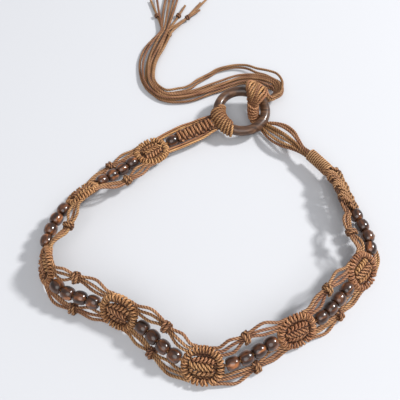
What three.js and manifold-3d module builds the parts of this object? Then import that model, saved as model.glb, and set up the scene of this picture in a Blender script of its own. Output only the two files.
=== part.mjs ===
// A macrame belt of twisted cord, wooden beads and a wooden ring, lying closed on a flat surface.
// Millimetres, +Z up. The band is knotted along one course that starts at the ring, runs round
// the waist and ends in a coil, and its free cords pass up through the ring and over its rim.
import * as THREE from 'three';
import { mergeVertices } from 'three/addons/utils/BufferGeometryUtils.js';
import Module from 'manifold-3d';

const wasm = await Module();
wasm.setup();

// Cord and beads
const CORD = 3; // thickness of the twisted cord
const CLEARANCE = 0.3; // gap kept between neighbouring pieces
const BEAD_WIDTH = 12.4;
const BEAD_LENGTH = 11.3;
const BEAD_BORE = 3.8;
const BEAD_GAP = 0.7; // between two beads on their cord
const BEAD_SETBACK = 0.6; // between the last bead of a run and the knots beside it
const BEADS_PER_RUN = 4;

// Knotted work
const MOTIF_LENGTH = 36.5;
const MOTIF_WIDTH = 36;
const MOTIF_THICKNESS = 7;
const SINNET_LENGTH = 35;
const SINNET_WIDTH = 15;
const SINNET_THICKNESS = 7;
const NECK_LENGTH = 4.5; // cords gathered between the ring and the sinnet
const NECK_WIDTH = 23;
const BRAID_LENGTH = 48;
const BRAID_WIDTH = 24;
const BRAID_THICKNESS = 8;
const COIL_LENGTH = 29;
const COIL_WIDTH = 12;
const BOW_INNER = 20.5; // side cords stand this far from the bead string at the waist side
const BOW_OUTER = 17; // and this far from it at the lower side

// Ring and closure
const RING_WIDTH = 60;
const RING_SECTION = 10.5;
const RING_HEIGHT = 16; // centre of the ring above the surface
const RING_TILT = 8; // degrees, far side up
const HITCH_BEARING = 205; // where the band leaves the ring, anticlockwise from +X
const HITCH_START = 172; // the hitches cover the ring between these two bearings
const HITCH_END = 250;
const LANTERN_WIDTH = 25; // loose cords between the coil and the ring
const BEND_WIDTH = 17; // the bundle where it turns back outside the ring
const LOCK_WIDTH = 2 * CORD; // two cords of the tail, side by side
const TIP_KNOT = 6.5; // knot near the tip of each lock

// Derived
const RING_RADIUS = (RING_WIDTH - RING_SECTION) / 2;
const SLEEVE_SECTION = RING_SECTION + 2 * CLEARANCE + 2 * CORD;
const BEAD_PITCH = BEAD_LENGTH + BEAD_GAP;
const RUN_LENGTH = BEADS_PER_RUN * BEAD_PITCH - BEAD_GAP + 2 * BEAD_SETBACK;
const MOTIF_CORNER = 2.3; // 2 is an oval, more is squarer
const KNOT_LIP = 0.6; // a middle knot stands this many cords past the side cords

// Each kind of unit on the band: its length, half width and thickness
const KINDS = {
  neck: { length: NECK_LENGTH, reach: SINNET_WIDTH / 2, thickness: SINNET_THICKNESS },
  sinnet: { length: SINNET_LENGTH, reach: SINNET_WIDTH / 2, thickness: SINNET_THICKNESS },
  lead: { length: BEAD_LENGTH + 2 * BEAD_SETBACK, reach: BEAD_WIDTH / 2, thickness: BEAD_WIDTH },
  motif: { length: MOTIF_LENGTH, reach: MOTIF_WIDTH / 2, thickness: MOTIF_THICKNESS },
  run: { length: RUN_LENGTH, reach: BOW_OUTER + KNOT_LIP * CORD, thickness: CORD },
  braid: { length: BRAID_LENGTH, reach: BRAID_WIDTH / 2, thickness: BRAID_THICKNESS },
  coil: { length: COIL_LENGTH, reach: 0, thickness: COIL_WIDTH },
};

// The course of the band. Heading is in degrees from +X, the leans are how steeply the waist-side
// half and the lower half stand, and lift is in cords above where the lower edge would rest.
const COURSE = [
  { kind: 'neck', heading: -156, leanIn: 0, leanOut: 0, lift: 3 },
  { kind: 'sinnet', heading: -157, leanIn: 4, leanOut: 4, lift: 1.8 },
  { kind: 'lead', heading: -151, leanIn: 6, leanOut: 6, lift: 0.3 },
  { kind: 'motif', heading: -141, leanIn: 10, leanOut: 10, lift: 0.3 },
  { kind: 'run', heading: -140, leanIn: 14, leanOut: 22, lift: 0.3 },
  { kind: 'motif', heading: -134, leanIn: 45, leanOut: 45, lift: 0 },
  { kind: 'run', heading: -109, leanIn: 18, leanOut: 72, lift: 0 },
  { kind: 'motif', heading: -75, leanIn: 66, leanOut: 68, lift: 0 },
  { kind: 'run', heading: -16, leanIn: 50, leanOut: 62, lift: 0 },
  { kind: 'motif', heading: -26, leanIn: 58, leanOut: 60, lift: 0 },
  { kind: 'run', heading: -48, leanIn: 52, leanOut: 58, lift: 0 },
  { kind: 'motif', heading: -8, leanIn: 42, leanOut: 44, lift: 0 },
  { kind: 'run', heading: 33, leanIn: 50, leanOut: 60, lift: 0 },
  { kind: 'motif', heading: 22, leanIn: 60, leanOut: 62, lift: 0 },
  { kind: 'run', heading: 49, leanIn: 52, leanOut: 60, lift: 0 },
  { kind: 'motif', heading: 47, leanIn: 46, leanOut: 48, lift: 0 },
  { kind: 'run', heading: 110, leanIn: 22, leanOut: 62, lift: 0 },
  { kind: 'braid', heading: 106, leanIn: 50, leanOut: 55, lift: 1.2 },
  { kind: 'coil', heading: 129, leanIn: 20, leanOut: 20, lift: 2.8 },
];

// The bundle of free cords round the ring's tube: bearing on the ring, turn round the tube from
// outside over the top, share of the tube's radius that it stands off, and its section in cords.
const CLOSURE = [
  { bearing: -29, turn: -88, off: 0.1, width: 3.5, thick: 2.0 },
  { bearing: -27, turn: -132, off: 0.2, width: 3.0, thick: 2.3 },
  { bearing: -17, turn: -166, off: 0.4, width: 3.0, thick: 2.8 },
  { bearing: 2, turn: -183, off: 0.5, width: 3.1, thick: 3.0 },
  { bearing: 20, turn: -198, off: 0.55, width: 2.8, thick: 2.7 },
  { bearing: 30, turn: -217, off: 0.3, width: 4.3, thick: 2.5 },
  { bearing: 38, turn: -241, off: 0.1, width: 6.2, thick: 2.6 },
  { bearing: 44, turn: -270, off: 0.0, width: 6.8, thick: 2.6 },
  { bearing: 47, turn: -305, off: 0.0, width: 6.2, thick: 2.4 },
  { bearing: 45, turn: -345, off: 0.0, width: 4.5, thick: 2.2 },
  { bearing: 41, turn: -375, off: 0.3, width: 3.3, thick: 2.3 },
];

// Where the bundle turns back and then the tail's route, in ring widths from the ring's centre
const BEND_ROUTE = [
  [0.53, 0.377, 0.15], [0.617, 0.433, 0.147], [0.683, 0.525, 0.144], [0.705, 0.625, 0.14],
];
const BEND_WIDTHS = [0.55, 1, 1, 0.68]; // shares of the bend's full width
const TAIL_ROUTE = [
  [0.69, 0.74, 0.13], [0.61, 0.84, 0.12], [0.48, 0.92, 0.107], [0.3, 0.975, 0.09],
  [0, 0.975, 0.07], [-0.45, 0.783, 0.06], [-0.917, 0.592, 0.056], [-1.333, 0.55, 0.056],
  [-1.5, 0.667, 0.056], [-1.633, 0.85, 0.056], [-1.675, 1.067, 0.056], [-1.65, 1.433, 0.056],
  [-1.508, 1.917, 0.056], [-1.358, 2.35, 0.056],
];

// Locks of the tail: place across the route in locks, how far it strays there, and its tip
const LOCKS = [
  { across: -1, stray: 0, rise: 0, tip: [-1.683, 3.283, 0.056] },
  { across: 0, stray: 0, rise: 0, tip: [-1.333, 3.367, 0.056] },
  { across: 1, stray: 2, rise: 0, tip: [-0.667, 3.167, 0.056] },
  { across: 0.5, stray: 0.3, rise: 1, tip: [-1.033, 2.967, 0.056] },
];

// Loose cords between the coil and the ring: share of the lantern's half width, sideways and up
const LANTERN = [
  { side: 0.95, up: 0.15 }, { side: 0.4, up: 0.9 }, { side: -0.3, up: 0.75 },
  { side: -0.95, up: 0.1 }, { side: 0.05, up: -0.5 },
];

// Section through a motif from its back to its face: a knotted rim round a raised middle
const MOTIF_PROFILE = [
  { reach: 0, face: -0.8 }, { reach: 1, face: -0.5 }, { reach: 1, face: 0.35 },
  { reach: 0.84, face: 1 }, { reach: 0.6, face: 0.4 }, { reach: 0.36, face: 0.9 },
  { reach: 0, face: 1 },
];

const cordFinish = new THREE.MeshStandardMaterial({ color: 0xa9744b, roughness: 0.8, metalness: 0 });
const wrapFinish = new THREE.MeshStandardMaterial({ color: 0xaa8250, roughness: 0.8, metalness: 0 });
const beadFinish = new THREE.MeshStandardMaterial({ color: 0x46281c, roughness: 0.25, metalness: 0 });
const ringFinish = new THREE.MeshStandardMaterial({ color: 0x5f412d, roughness: 0.35, metalness: 0 });

const radians = THREE.MathUtils.degToRad;
const up = new THREE.Vector3(0, 0, 1);

// Turns a closed geometry into a solid that can be joined to others
function solidOf(geometry) {
  const bare = geometry.clone();
  bare.deleteAttribute('normal');
  bare.deleteAttribute('uv');
  const merged = mergeVertices(bare, 1e-4);
  const corners = merged.index.array;
  const kept = [];
  for (let i = 0; i < corners.length; i += 3) {
    const [a, b, c] = [corners[i], corners[i + 1], corners[i + 2]];
    if (a !== b && b !== c && c !== a) kept.push(a, b, c);
  }
  const vertProperties = new Float32Array(merged.attributes.position.array);
  const triVerts = new Uint32Array(kept);
  return new wasm.Manifold(new wasm.Mesh({ numProp: 3, vertProperties, triVerts }));
}

function fuse(geometries) {
  const [first, ...others] = geometries.map(solidOf);
  const joined = others.reduce((sum, part) => sum.add(part), first).getMesh();
  const geometry = new THREE.BufferGeometry();
  geometry.setAttribute('position', new THREE.BufferAttribute(joined.vertProperties, 3));
  geometry.setIndex(new THREE.BufferAttribute(joined.triVerts, 1));
  geometry.computeVertexNormals();
  return geometry;
}

// Places the units end to end and walks the course in short steps
function layCourse() {
  let start = 0;
  const units = COURSE.map((row) => {
    const { length, reach, thickness } = KINDS[row.kind];
    const lean = radians(row.leanOut);
    const rest = reach * Math.sin(lean) + (thickness / 2) * Math.cos(lean);
    const unit = { ...row, length, reach, start, middle: start + length / 2, end: start + length };
    start += length;
    return { ...unit, height: rest + row.lift * CORD };
  });
  return units;
}

const units = layCourse();
const unitsOf = (kind) => units.filter((unit) => unit.kind === kind);

function courseValue(s, column, blend) {
  const next = units.findIndex((unit) => unit.middle > s);
  if (next === 0) return units[0][column];
  if (next < 0) return units.at(-1)[column];
  const [a, b] = [units[next - 1], units[next]];
  return THREE.MathUtils.lerp(a[column], b[column], blend(s, a.middle, b.middle));
}

const evenly = (s, from, to) => (s - from) / (to - from);
const gently = (s, from, to) => THREE.MathUtils.smoothstep(s, from, to);

function walkCourse() {
  const step = 0.5;
  const outside = RING_RADIUS + SLEEVE_SECTION / 2 + 3 * CLEARANCE;
  const bearing = radians(HITCH_BEARING);
  const here = new THREE.Vector2(Math.cos(bearing), Math.sin(bearing)).multiplyScalar(outside);
  const trail = [here.clone()];
  for (let s = step / 2; s < units.at(-1).end + step; s += step) {
    const heading = radians(courseValue(s, 'heading', evenly));
    here.x += step * Math.cos(heading);
    here.y += step * Math.sin(heading);
    trail.push(here.clone());
  }
  return { step, trail };
}

const { step: TRAIL_STEP, trail } = walkCourse();

function bandFrame(s) {
  const place = THREE.MathUtils.clamp(s / TRAIL_STEP, 0, trail.length - 1.001);
  const plan = trail[Math.floor(place)].clone().lerp(trail[Math.floor(place) + 1], place % 1);
  const heading = radians(courseValue(s, 'heading', evenly));
  const along = new THREE.Vector3(Math.cos(heading), Math.sin(heading), 0);
  const inward = new THREE.Vector3(-Math.sin(heading), Math.cos(heading), 0);
  const centre = new THREE.Vector3(plan.x, plan.y, courseValue(s, 'height', gently));
  return { centre, along, inward };
}

// Point on the band: s along the course, v across it towards the waist, n out of its face
function bandPoint(s, v, n) {
  const { centre, inward } = bandFrame(s);
  const leanIn = radians(courseValue(s, 'leanIn', gently));
  const leanOut = radians(courseValue(s, 'leanOut', gently));
  const fold = THREE.MathUtils.smoothstep(v, -BEAD_WIDTH / 2, BEAD_WIDTH / 2);
  const lean = v > 0 ? leanIn : leanOut;
  const facing = THREE.MathUtils.lerp(leanOut, leanIn, fold);
  return centre
    .addScaledVector(inward, v * Math.cos(lean) - n * Math.sin(facing))
    .addScaledVector(up, v * Math.sin(lean) + n * Math.cos(facing));
}

function tube(points, width, sides, steps) {
  const circle = new THREE.Shape();
  circle.absarc(0, 0, width / 2, 0, 2 * Math.PI);
  const section = new THREE.Shape(circle.getSpacedPoints(sides).slice(0, sides));
  const extrudePath = new THREE.CatmullRomCurve3(points, false, 'centripetal');
  return new THREE.ExtrudeGeometry(section, { steps, extrudePath });
}

// A closed body of oval sections, one at each station { point, side, width, thick }, which may
// also name the way ahead
function sweep(stations, sides) {
  const body = new THREE.CylinderGeometry(1, 1, 1, sides, stations.length - 1);
  const frames = stations.map(({ point }, i) => {
    const before = stations[Math.max(i - 1, 0)].point;
    const after = stations[Math.min(i + 1, stations.length - 1)].point;
    const ahead = stations[i].ahead ?? after.clone().sub(before).normalize();
    const side = stations[i].side.clone();
    side.addScaledVector(ahead, -side.dot(ahead)).normalize();
    return { point, side, third: side.clone().cross(ahead) };
  });
  const { position } = body.attributes;
  for (let i = 0; i < position.count; i += 1) {
    const at = Math.round((position.getY(i) + 0.5) * (stations.length - 1));
    const { point, side, third } = frames[at];
    const placed = point.clone()
      .addScaledVector(side, (position.getX(i) * stations[at].width) / 2)
      .addScaledVector(third, (position.getZ(i) * stations[at].thick) / 2);
    position.setXYZ(i, placed.x, placed.y, placed.z);
  }
  return body;
}

function bandAhead(s) {
  return bandPoint(s + CORD / 2, 0, 0).sub(bandPoint(s - CORD / 2, 0, 0)).normalize();
}

function bandStation(s, width, thick) {
  const side = bandPoint(s, 1, 0).sub(bandPoint(s, 0, 0));
  return { point: bandPoint(s, 0, 0), side, ahead: bandAhead(s), width, thick };
}

// How far a unit's rounded outline reaches along the course at a place across it
function outline(unit, v) {
  if (unit.kind !== 'motif') return unit.length / 2;
  const share = Math.min(Math.abs(v) / unit.reach, 1);
  return (unit.length / 2) * (1 - share ** MOTIF_CORNER) ** (1 / MOTIF_CORNER);
}

function motifBody(unit) {
  const half = MOTIF_THICKNESS / 2;
  const profile = MOTIF_PROFILE.map(({ reach, face }) => new THREE.Vector2(reach, face * half));
  const body = new THREE.LatheGeometry(profile, 12);
  const { position } = body.attributes;
  for (let i = 0; i < position.count; i += 1) {
    const [x, n, z] = [position.getX(i), position.getY(i), position.getZ(i)];
    const around = Math.atan2(x, z);
    const corner = Math.abs(Math.sin(around)) ** MOTIF_CORNER + Math.abs(Math.cos(around)) ** MOTIF_CORNER;
    const square = corner ** (-1 / MOTIF_CORNER);
    const s = unit.middle + (z * square * unit.length) / 2;
    const placed = bandPoint(s, x * square * unit.reach, n);
    position.setXYZ(i, placed.x, placed.y, placed.z);
  }
  return body;
}

// Where the bead cord bends: halfway between two beads, so that it runs straight through each
function beadJoint(run, i) {
  return run.start + BEAD_SETBACK - BEAD_GAP / 2 + i * BEAD_PITCH;
}

// The cord that carries a run of beads, from inside one unit to just short of the next
function beadCord(from, run) {
  const joints = [];
  const beads = Math.round((run.end - run.start - 2 * BEAD_SETBACK) / BEAD_PITCH);
  for (let i = 0; i < beads; i += 1) joints.push(beadJoint(run, i));
  const places = [from, ...joints, run.end - CLEARANCE];
  return sweep(places.map((s) => bandStation(s, CORD, CORD)), 5);
}

function motif(unit, run) {
  return fuse([motifBody(unit), beadCord(unit.middle + unit.length / 4, run)]);
}

function beadBody() {
  const [edge, rim] = [BEAD_LENGTH / 2, BEAD_WIDTH / 2];
  const hole = BEAD_BORE / 2;
  const shoulder = (hole + rim) / 2 + rim / 6;
  const profile = [
    [hole, -edge], [shoulder, -edge * 0.72], [rim, 0], [shoulder, edge * 0.72], [hole, edge],
    [hole, -edge],
  ];
  return fuse([new THREE.LatheGeometry(profile.map(([x, y]) => new THREE.Vector2(x, y)), 10)]);
}

function strandPoints(before, after, side, i) {
  const run = { start: before.end, end: after.start };
  const bow = side > 0 ? BOW_INNER : BOW_OUTER;
  const inner = BEAD_WIDTH / 2 + CLEARANCE + 0.9 * CORD;
  const across = (unit) => THREE.MathUtils.lerp(inner, unit.reach - 0.7 * CORD, i / 2);
  const knotted = bow - (2.2 - i) * CORD;
  const [v0, v1] = [across(before), across(after)];
  const s0 = before.middle + outline(before, v0 - CORD / 2) + CLEARANCE;
  const s1 = after.middle - outline(after, v1 - CORD / 2) - CLEARANCE;
  const middle = (run.start + run.end) / 2;
  const swell = (i - 0.6) * 0.5 * CORD;
  return [
    bandPoint(s0, side * v0, 0),
    bandPoint((s0 + middle) / 2, side * ((v0 + knotted) / 2 + swell), 0),
    bandPoint(middle, side * knotted, 0),
    bandPoint((s1 + middle) / 2, side * ((v1 + knotted) / 2 + swell), 0),
    bandPoint(s1, side * v1, 0),
  ];
}

// The small square knot that ties the side cords halfway along a run
function middleKnot(before, after, side) {
  const s = (before.end + after.start) / 2;
  const bow = side > 0 ? BOW_INNER : BOW_OUTER;
  const outward = bandPoint(s, side, 1).sub(bandPoint(s, side, 0));
  const corner = bandFrame(s).along.add(outward); // four sides, with flats towards the cords
  const rows = [{ share: -3, width: 2 }, { share: -2.3, width: 3 }, { share: KNOT_LIP, width: 2.6 }];
  const stations = rows.map(({ share, width }) => ({
    point: bandPoint(s, side * (bow + share * CORD), 0),
    side: corner,
    width: width * CORD,
    thick: width * CORD,
  }));
  return sweep(stations, 4);
}

function sideStrands(before, after, side) {
  const strands = [0, 1, 2].map((i) => tube(strandPoints(before, after, side, i), CORD, 5, 4));
  return fuse([...strands, middleKnot(before, after, side)]);
}

// Sinnet of square knots, its neck at the ring and the cords that pass it on both sides
function squareKnotSinnet() {
  const [neck, sinnet, lead] = units;
  const knots = 4;
  const stations = [
    bandStation(neck.start, 0.85 * NECK_WIDTH, 0.8 * SINNET_THICKNESS),
    bandStation(neck.middle, NECK_WIDTH, SINNET_THICKNESS),
  ];
  for (let i = 0; i <= 2 * knots; i += 1) {
    const full = i % 2 ? 1 : 0.82;
    const s = THREE.MathUtils.lerp(sinnet.start, sinnet.end, i / (2 * knots));
    stations.push(bandStation(s, full * SINNET_WIDTH, full * SINNET_THICKNESS));
  }
  const beadThread = beadCord(sinnet.end - CORD, lead);
  const passing = [-1, 1].flatMap((side) => [0, 1].map((i) => passingCord(side, i)));
  return fuse([sweep(stations, 8), beadThread, ...passing]);
}

function passingCord(side, i) {
  const [neck, sinnet, lead, firstMotif] = units;
  const gathered = side * (NECK_WIDTH / 2 - CORD * (2 - i));
  const v = side * (SINNET_WIDTH / 2 + CORD * (0.8 + 1.05 * i));
  const start = neck.middle;
  const end = firstMotif.middle - outline(firstMotif, Math.abs(v) - CORD / 2) - 2 * CLEARANCE;
  const middle = (sinnet.middle + lead.middle) / 2;
  const points = [
    bandPoint(start, gathered, 0),
    bandPoint(sinnet.start + 3 * CORD, v, 0),
    bandPoint(middle, v + (side * CORD) / 2, 0),
    bandPoint(end, v, 0),
  ];
  return tube(points, CORD, 5, 4);
}

// The braid narrows from the last bead run to the coil
function braid() {
  const unit = unitsOf('braid')[0];
  const rows = [
    { share: 0, width: 0.86 }, { share: 0.12, width: 1 }, { share: 0.28, width: 0.86 },
    { share: 0.42, width: 0.94 }, { share: 0.56, width: 0.78 }, { share: 0.7, width: 0.82 },
    { share: 0.84, width: 0.66 }, { share: 1, width: 0.5 },
  ];
  const stations = rows.map(({ share, width }) => {
    const s = THREE.MathUtils.lerp(unit.start, unit.end - CLEARANCE, share);
    return bandStation(s, width * BRAID_WIDTH, (0.6 + 0.4 * width) * BRAID_THICKNESS);
  });
  return fuse([sweep(stations, 8)]);
}

function coilWrap() {
  const unit = unitsOf('coil')[0];
  const rows = [
    { share: 0, width: 0.85 }, { share: 0.08, width: 1 }, { share: 0.5, width: 1.02 },
    { share: 0.92, width: 1 }, { share: 1, width: 0.85 },
  ];
  const stations = rows.map(({ share, width }) => {
    const s = THREE.MathUtils.lerp(unit.start, unit.end, share);
    return bandStation(s, width * COIL_WIDTH, width * COIL_WIDTH);
  });
  return fuse([sweep(stations, 10)]);
}

const ringPlace = new THREE.Group();
ringPlace.position.set(0, 0, RING_HEIGHT);
ringPlace.rotation.set(radians(RING_TILT), 0, 0);
ringPlace.updateMatrixWorld();

function ringBody() {
  return new THREE.TorusGeometry(RING_RADIUS, RING_SECTION / 2, 8, 24);
}

// The cords hitched round the ring, as a sleeve that the ring passes through
function ringHitches() {
  const wall = new THREE.Shape();
  wall.absarc(0, 0, SLEEVE_SECTION / 2, 0, 2 * Math.PI);
  const hole = new THREE.Path();
  const cosine = Math.cos(Math.PI / 8); // the flats of the faceted hole clear the ring
  hole.absarc(0, 0, (RING_SECTION / 2 + CLEARANCE) / cosine, 0, 2 * Math.PI);
  wall.holes.push(hole);
  const bearings = [];
  for (let i = 0; i <= 6; i += 1) {
    bearings.push(radians(THREE.MathUtils.lerp(HITCH_START, HITCH_END, i / 6)));
  }
  const points = bearings.map((b) => new THREE.Vector3(Math.cos(b), Math.sin(b), 0));
  points.forEach((point) => point.multiplyScalar(RING_RADIUS));
  const extrudePath = new THREE.CatmullRomCurve3(points);
  return fuse([new THREE.ExtrudeGeometry(wall, { steps: 6, extrudePath, curveSegments: 4 })]);
}

function closureStation({ bearing, turn, off, width, thick }) {
  const [around, over] = [radians(bearing), radians(turn)];
  const tubeRadius = RING_SECTION / 2;
  const stand = tubeRadius + CLEARANCE + (thick * CORD) / 2 + off * tubeRadius;
  const outward = new THREE.Vector3(Math.cos(around), Math.sin(around), 0);
  const reach = RING_RADIUS + stand * Math.cos(over);
  const point = outward.clone().multiplyScalar(reach);
  point.z = stand * Math.sin(over);
  const side = new THREE.Vector3(-outward.y, outward.x, 0);
  side.transformDirection(ringPlace.matrixWorld);
  return { point: point.applyMatrix4(ringPlace.matrixWorld), side, width: width * CORD, thick: thick * CORD };
}

function lanternCord(start, finish, sideways, { side, up: rise }) {
  const points = [0, 0.22, 0.5, 0.78, 1].map((t) => {
    const swell = Math.sin(Math.PI * t) ** 0.8;
    const spread = THREE.MathUtils.lerp(0.28 * COIL_WIDTH, (LANTERN_WIDTH - CORD) / 2, swell);
    return start.clone().lerp(finish, t)
      .addScaledVector(sideways, side * spread)
      .addScaledVector(up, rise * spread * 0.6);
  });
  return tube(points, CORD, 5, 4);
}

// A short block where loose cords gather, from a point towards its length
function head(point, towards, side, width, thick) {
  const end = point.clone().addScaledVector(towards, 2 * CORD);
  return sweep([{ point, side, width, thick }, { point: end, side, width, thick }], 8);
}

function openCords() {
  const coil = unitsOf('coil')[0];
  const start = bandPoint(coil.end, 0, 0);
  const leave = bandAhead(coil.end);
  start.addScaledVector(leave, CLEARANCE);
  const { point: underRim, side, width, thick } = closureStation(CLOSURE[0]);
  const back = underRim.clone().sub(closureStation(CLOSURE[1]).point).normalize();
  const finish = underRim.clone().addScaledVector(back, CLEARANCE);
  const from = start.clone().addScaledVector(leave, CORD);
  const to = finish.clone().addScaledVector(back, CORD);
  const sideways = to.clone().sub(from).cross(up).normalize();
  const cords = LANTERN.map((row) => lanternCord(from, to, sideways, row));
  const atCoil = head(start, leave, sideways, 0.85 * COIL_WIDTH, 0.85 * COIL_WIDTH);
  const atRing = head(finish, back, side, width, thick);
  return fuse([...cords, atCoil, atRing]);
}

// Places given in ring widths
const vectors = (rows) => rows.map((row) => new THREE.Vector3(...row).multiplyScalar(RING_WIDTH));

// The bundle comes down outside the ring and ends square against its bend
function ringKnot() {
  const stations = CLOSURE.map(closureStation);
  const [first, second] = vectors(BEND_ROUTE);
  const ahead = second.sub(first).normalize();
  const point = first.clone().addScaledVector(ahead, -CLEARANCE);
  const width = BEND_WIDTHS[0] * BEND_WIDTH;
  stations.push({ point, side: stations.at(-1).side, ahead, width, thick: width });
  return fuse([sweep(stations, 10)]);
}

// The tail starts square off the end of the bend
function tailRoute() {
  const [before, last] = vectors(BEND_ROUTE).slice(-2);
  const ahead = last.clone().sub(before).normalize();
  const start = last.clone().addScaledVector(ahead, CLEARANCE);
  const clear = start.clone().addScaledVector(ahead, CORD);
  return { ahead, start, points: [start, clear, ...vectors(TAIL_ROUTE)] };
}

function tailBend() {
  const stations = vectors(BEND_ROUTE).map((point, i) => {
    const width = BEND_WIDTHS[i] * BEND_WIDTH;
    return { point, side: up, width, thick: width };
  });
  return fuse([sweep(stations, 10)]);
}

// One lock keeps its place across the route, then leaves it for its own tip and ends in a knot
function tailLock({ across, stray, rise, tip }) {
  const route = new THREE.CatmullRomCurve3(tailRoute().points, false, 'centripetal');
  const stations = [];
  const spans = 10;
  for (let i = 0; i <= spans; i += 1) {
    const t = (i / spans) ** 1.25; // closer together in the first bend
    const point = route.getPointAt(t);
    const side = route.getTangentAt(t).cross(up).normalize();
    const gather = THREE.MathUtils.smoothstep(t, 0, 0.12);
    const apart = across + stray * Math.sin(Math.PI * Math.min(2.6 * t, 1)) ** 2;
    point.addScaledVector(side, apart * LOCK_WIDTH * (0.45 + 0.45 * gather));
    point.z += rise * LOCK_WIDTH * gather;
    stations.push({ point, side, ahead: route.getTangentAt(t), width: LOCK_WIDTH, thick: LOCK_WIDTH });
  }
  const { point: leave, side } = stations.at(-1);
  const [end] = vectors([tip]);
  const ending = [
    { share: 0.5, width: LOCK_WIDTH }, { share: 0.86, width: LOCK_WIDTH },
    { share: 0.92, width: TIP_KNOT }, { share: 0.96, width: TIP_KNOT }, { share: 1, width: CORD },
  ];
  ending.forEach(({ share, width }) => {
    stations.push({ point: leave.clone().lerp(end, share), side, width, thick: width });
  });
  return sweep(stations, 5);
}

function tailFringe() {
  const { start, ahead } = tailRoute();
  const width = BEND_WIDTHS.at(-1) * BEND_WIDTH;
  return fuse([head(start, ahead, up, width, width), ...LOCKS.map(tailLock)]);
}

const belt = new THREE.Group();

function add(name, geometry, material, parent = belt) {
  const mesh = new THREE.Mesh(geometry, material);
  mesh.name = name;
  parent.add(mesh);
  return mesh;
}

add('ring', ringBody(), ringFinish, ringPlace);
add('ring_hitches', ringHitches(), cordFinish, ringPlace);
belt.add(ringPlace);
add('square_knot_sinnet', squareKnotSinnet(), cordFinish);

// Bead i of a run, on the straight piece of cord between two joints
let beadCount = 0;
function addBead(geometry, run, i) {
  beadCount += 1;
  const mesh = add(`bead_${String(beadCount).padStart(2, '0')}`, geometry, beadFinish);
  const from = bandPoint(beadJoint(run, i), 0, 0);
  const to = bandPoint(beadJoint(run, i + 1), 0, 0);
  mesh.position.copy(from).lerp(to, 0.5);
  mesh.quaternion.setFromUnitVectors(new THREE.Vector3(0, 1, 0), to.sub(from).normalize());
}

const bead = beadBody();
addBead(bead, unitsOf('lead')[0], 0);

unitsOf('run').forEach((run, i) => {
  const place = units.indexOf(run);
  const [before, after] = [units[place - 1], units[place + 1]];
  add(`motif_${i + 1}`, motif(before, run), cordFinish);
  for (let j = 0; j < BEADS_PER_RUN; j += 1) addBead(bead, run, j);
  add(`side_cords_${i + 1}_inner`, sideStrands(before, after, 1), cordFinish);
  add(`side_cords_${i + 1}_outer`, sideStrands(before, after, -1), cordFinish);
});

add('braid', braid(), cordFinish);
add('coil_wrap', coilWrap(), wrapFinish);
add('open_cords', openCords(), cordFinish);
add('ring_knot', ringKnot(), cordFinish);
add('tail_bend', tailBend(), cordFinish);
add('tail_fringe', tailFringe(), cordFinish);

// The origin is under the middle of the whole belt, on the surface that it lies on
belt.updateMatrixWorld(true);
const extent = new THREE.Box3().setFromObject(belt, true);
const middle = extent.getCenter(new THREE.Vector3());
belt.position.set(-middle.x, -middle.y, -extent.min.z);

export default belt;
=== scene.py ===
# %% [markdown]
# # A macrame belt, lying closed on a pale surface
#
# The real belt is knotted by hand from soft twisted cord. A wooden ring starts it, seven knotted
# eyes and seven runs of wooden beads make the band, and the free cords come back through the
# ring and lie behind it as a long tail. The solid model of the belt gives every piece its place
# and size. Here each of those plain pieces gets the real thing in its place: the cords one by
# one, twisted and knotted, and the turned wood. The first cell loads the solid model.

# %% Load the solid model
import math

import bmesh
import bpy
import numpy as np
from mathutils import Matrix, Vector
from mathutils.kdtree import KDTree


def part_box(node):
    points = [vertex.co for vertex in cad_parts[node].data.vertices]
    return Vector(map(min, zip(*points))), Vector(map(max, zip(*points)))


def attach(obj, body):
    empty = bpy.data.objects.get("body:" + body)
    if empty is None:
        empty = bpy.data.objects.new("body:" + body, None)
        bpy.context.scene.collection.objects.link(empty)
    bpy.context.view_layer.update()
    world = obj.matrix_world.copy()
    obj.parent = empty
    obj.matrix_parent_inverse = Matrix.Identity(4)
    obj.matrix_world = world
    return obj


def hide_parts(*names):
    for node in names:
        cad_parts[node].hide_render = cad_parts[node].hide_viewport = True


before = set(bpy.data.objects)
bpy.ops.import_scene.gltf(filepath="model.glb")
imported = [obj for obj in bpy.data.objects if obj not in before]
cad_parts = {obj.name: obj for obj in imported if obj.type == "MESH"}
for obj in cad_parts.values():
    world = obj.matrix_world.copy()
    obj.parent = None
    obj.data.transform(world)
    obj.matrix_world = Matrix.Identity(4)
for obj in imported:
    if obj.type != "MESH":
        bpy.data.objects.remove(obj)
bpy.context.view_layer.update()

# %% [markdown]
# ## Where things are
#
# The belt was measured from the middle of its ring, so this lesson keeps that as its starting
# point and counts in millimetres, as a maker would. One small function moves points to the
# scene, which counts in metres from the middle of the whole belt.

# %% From millimetres round the ring to the scene
MM = 0.001
RING_HEIGHT = 16.0  # middle of the ring above the surface
ring_low, ring_high = (np.array(corner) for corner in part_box("ring"))
RING_AT = (ring_low + ring_high) / 2 - np.array([0, 0, RING_HEIGHT * MM])


def to_scene(points):
    return RING_AT + np.asarray(points, float) * MM


print("ring stands at", RING_AT.round(4))

# %% [markdown]
# ## The camera
#
# The belt is seen from the front and from above, at about a third of a right angle off straight
# down. The lens is a short telephoto, so near and far beads keep nearly the same size.

# %% Camera
CAMERA_FROM_RING = (-43.66, -421.3, 492.9)
camera_data = bpy.data.cameras.new("view_from_the_front")
camera_data.lens = 54
camera_data.sensor_width = 36
camera = bpy.data.objects.new("view_from_the_front", camera_data)
camera.location = to_scene(CAMERA_FROM_RING)
camera.rotation_euler = (math.radians(33), 0, 0)
bpy.context.scene.collection.objects.link(camera)
bpy.context.scene.camera = camera
bpy.context.scene.view_settings.view_transform = "Standard"  # plain, clear tones
print("camera at", tuple(round(x, 3) for x in camera.location))

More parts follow.
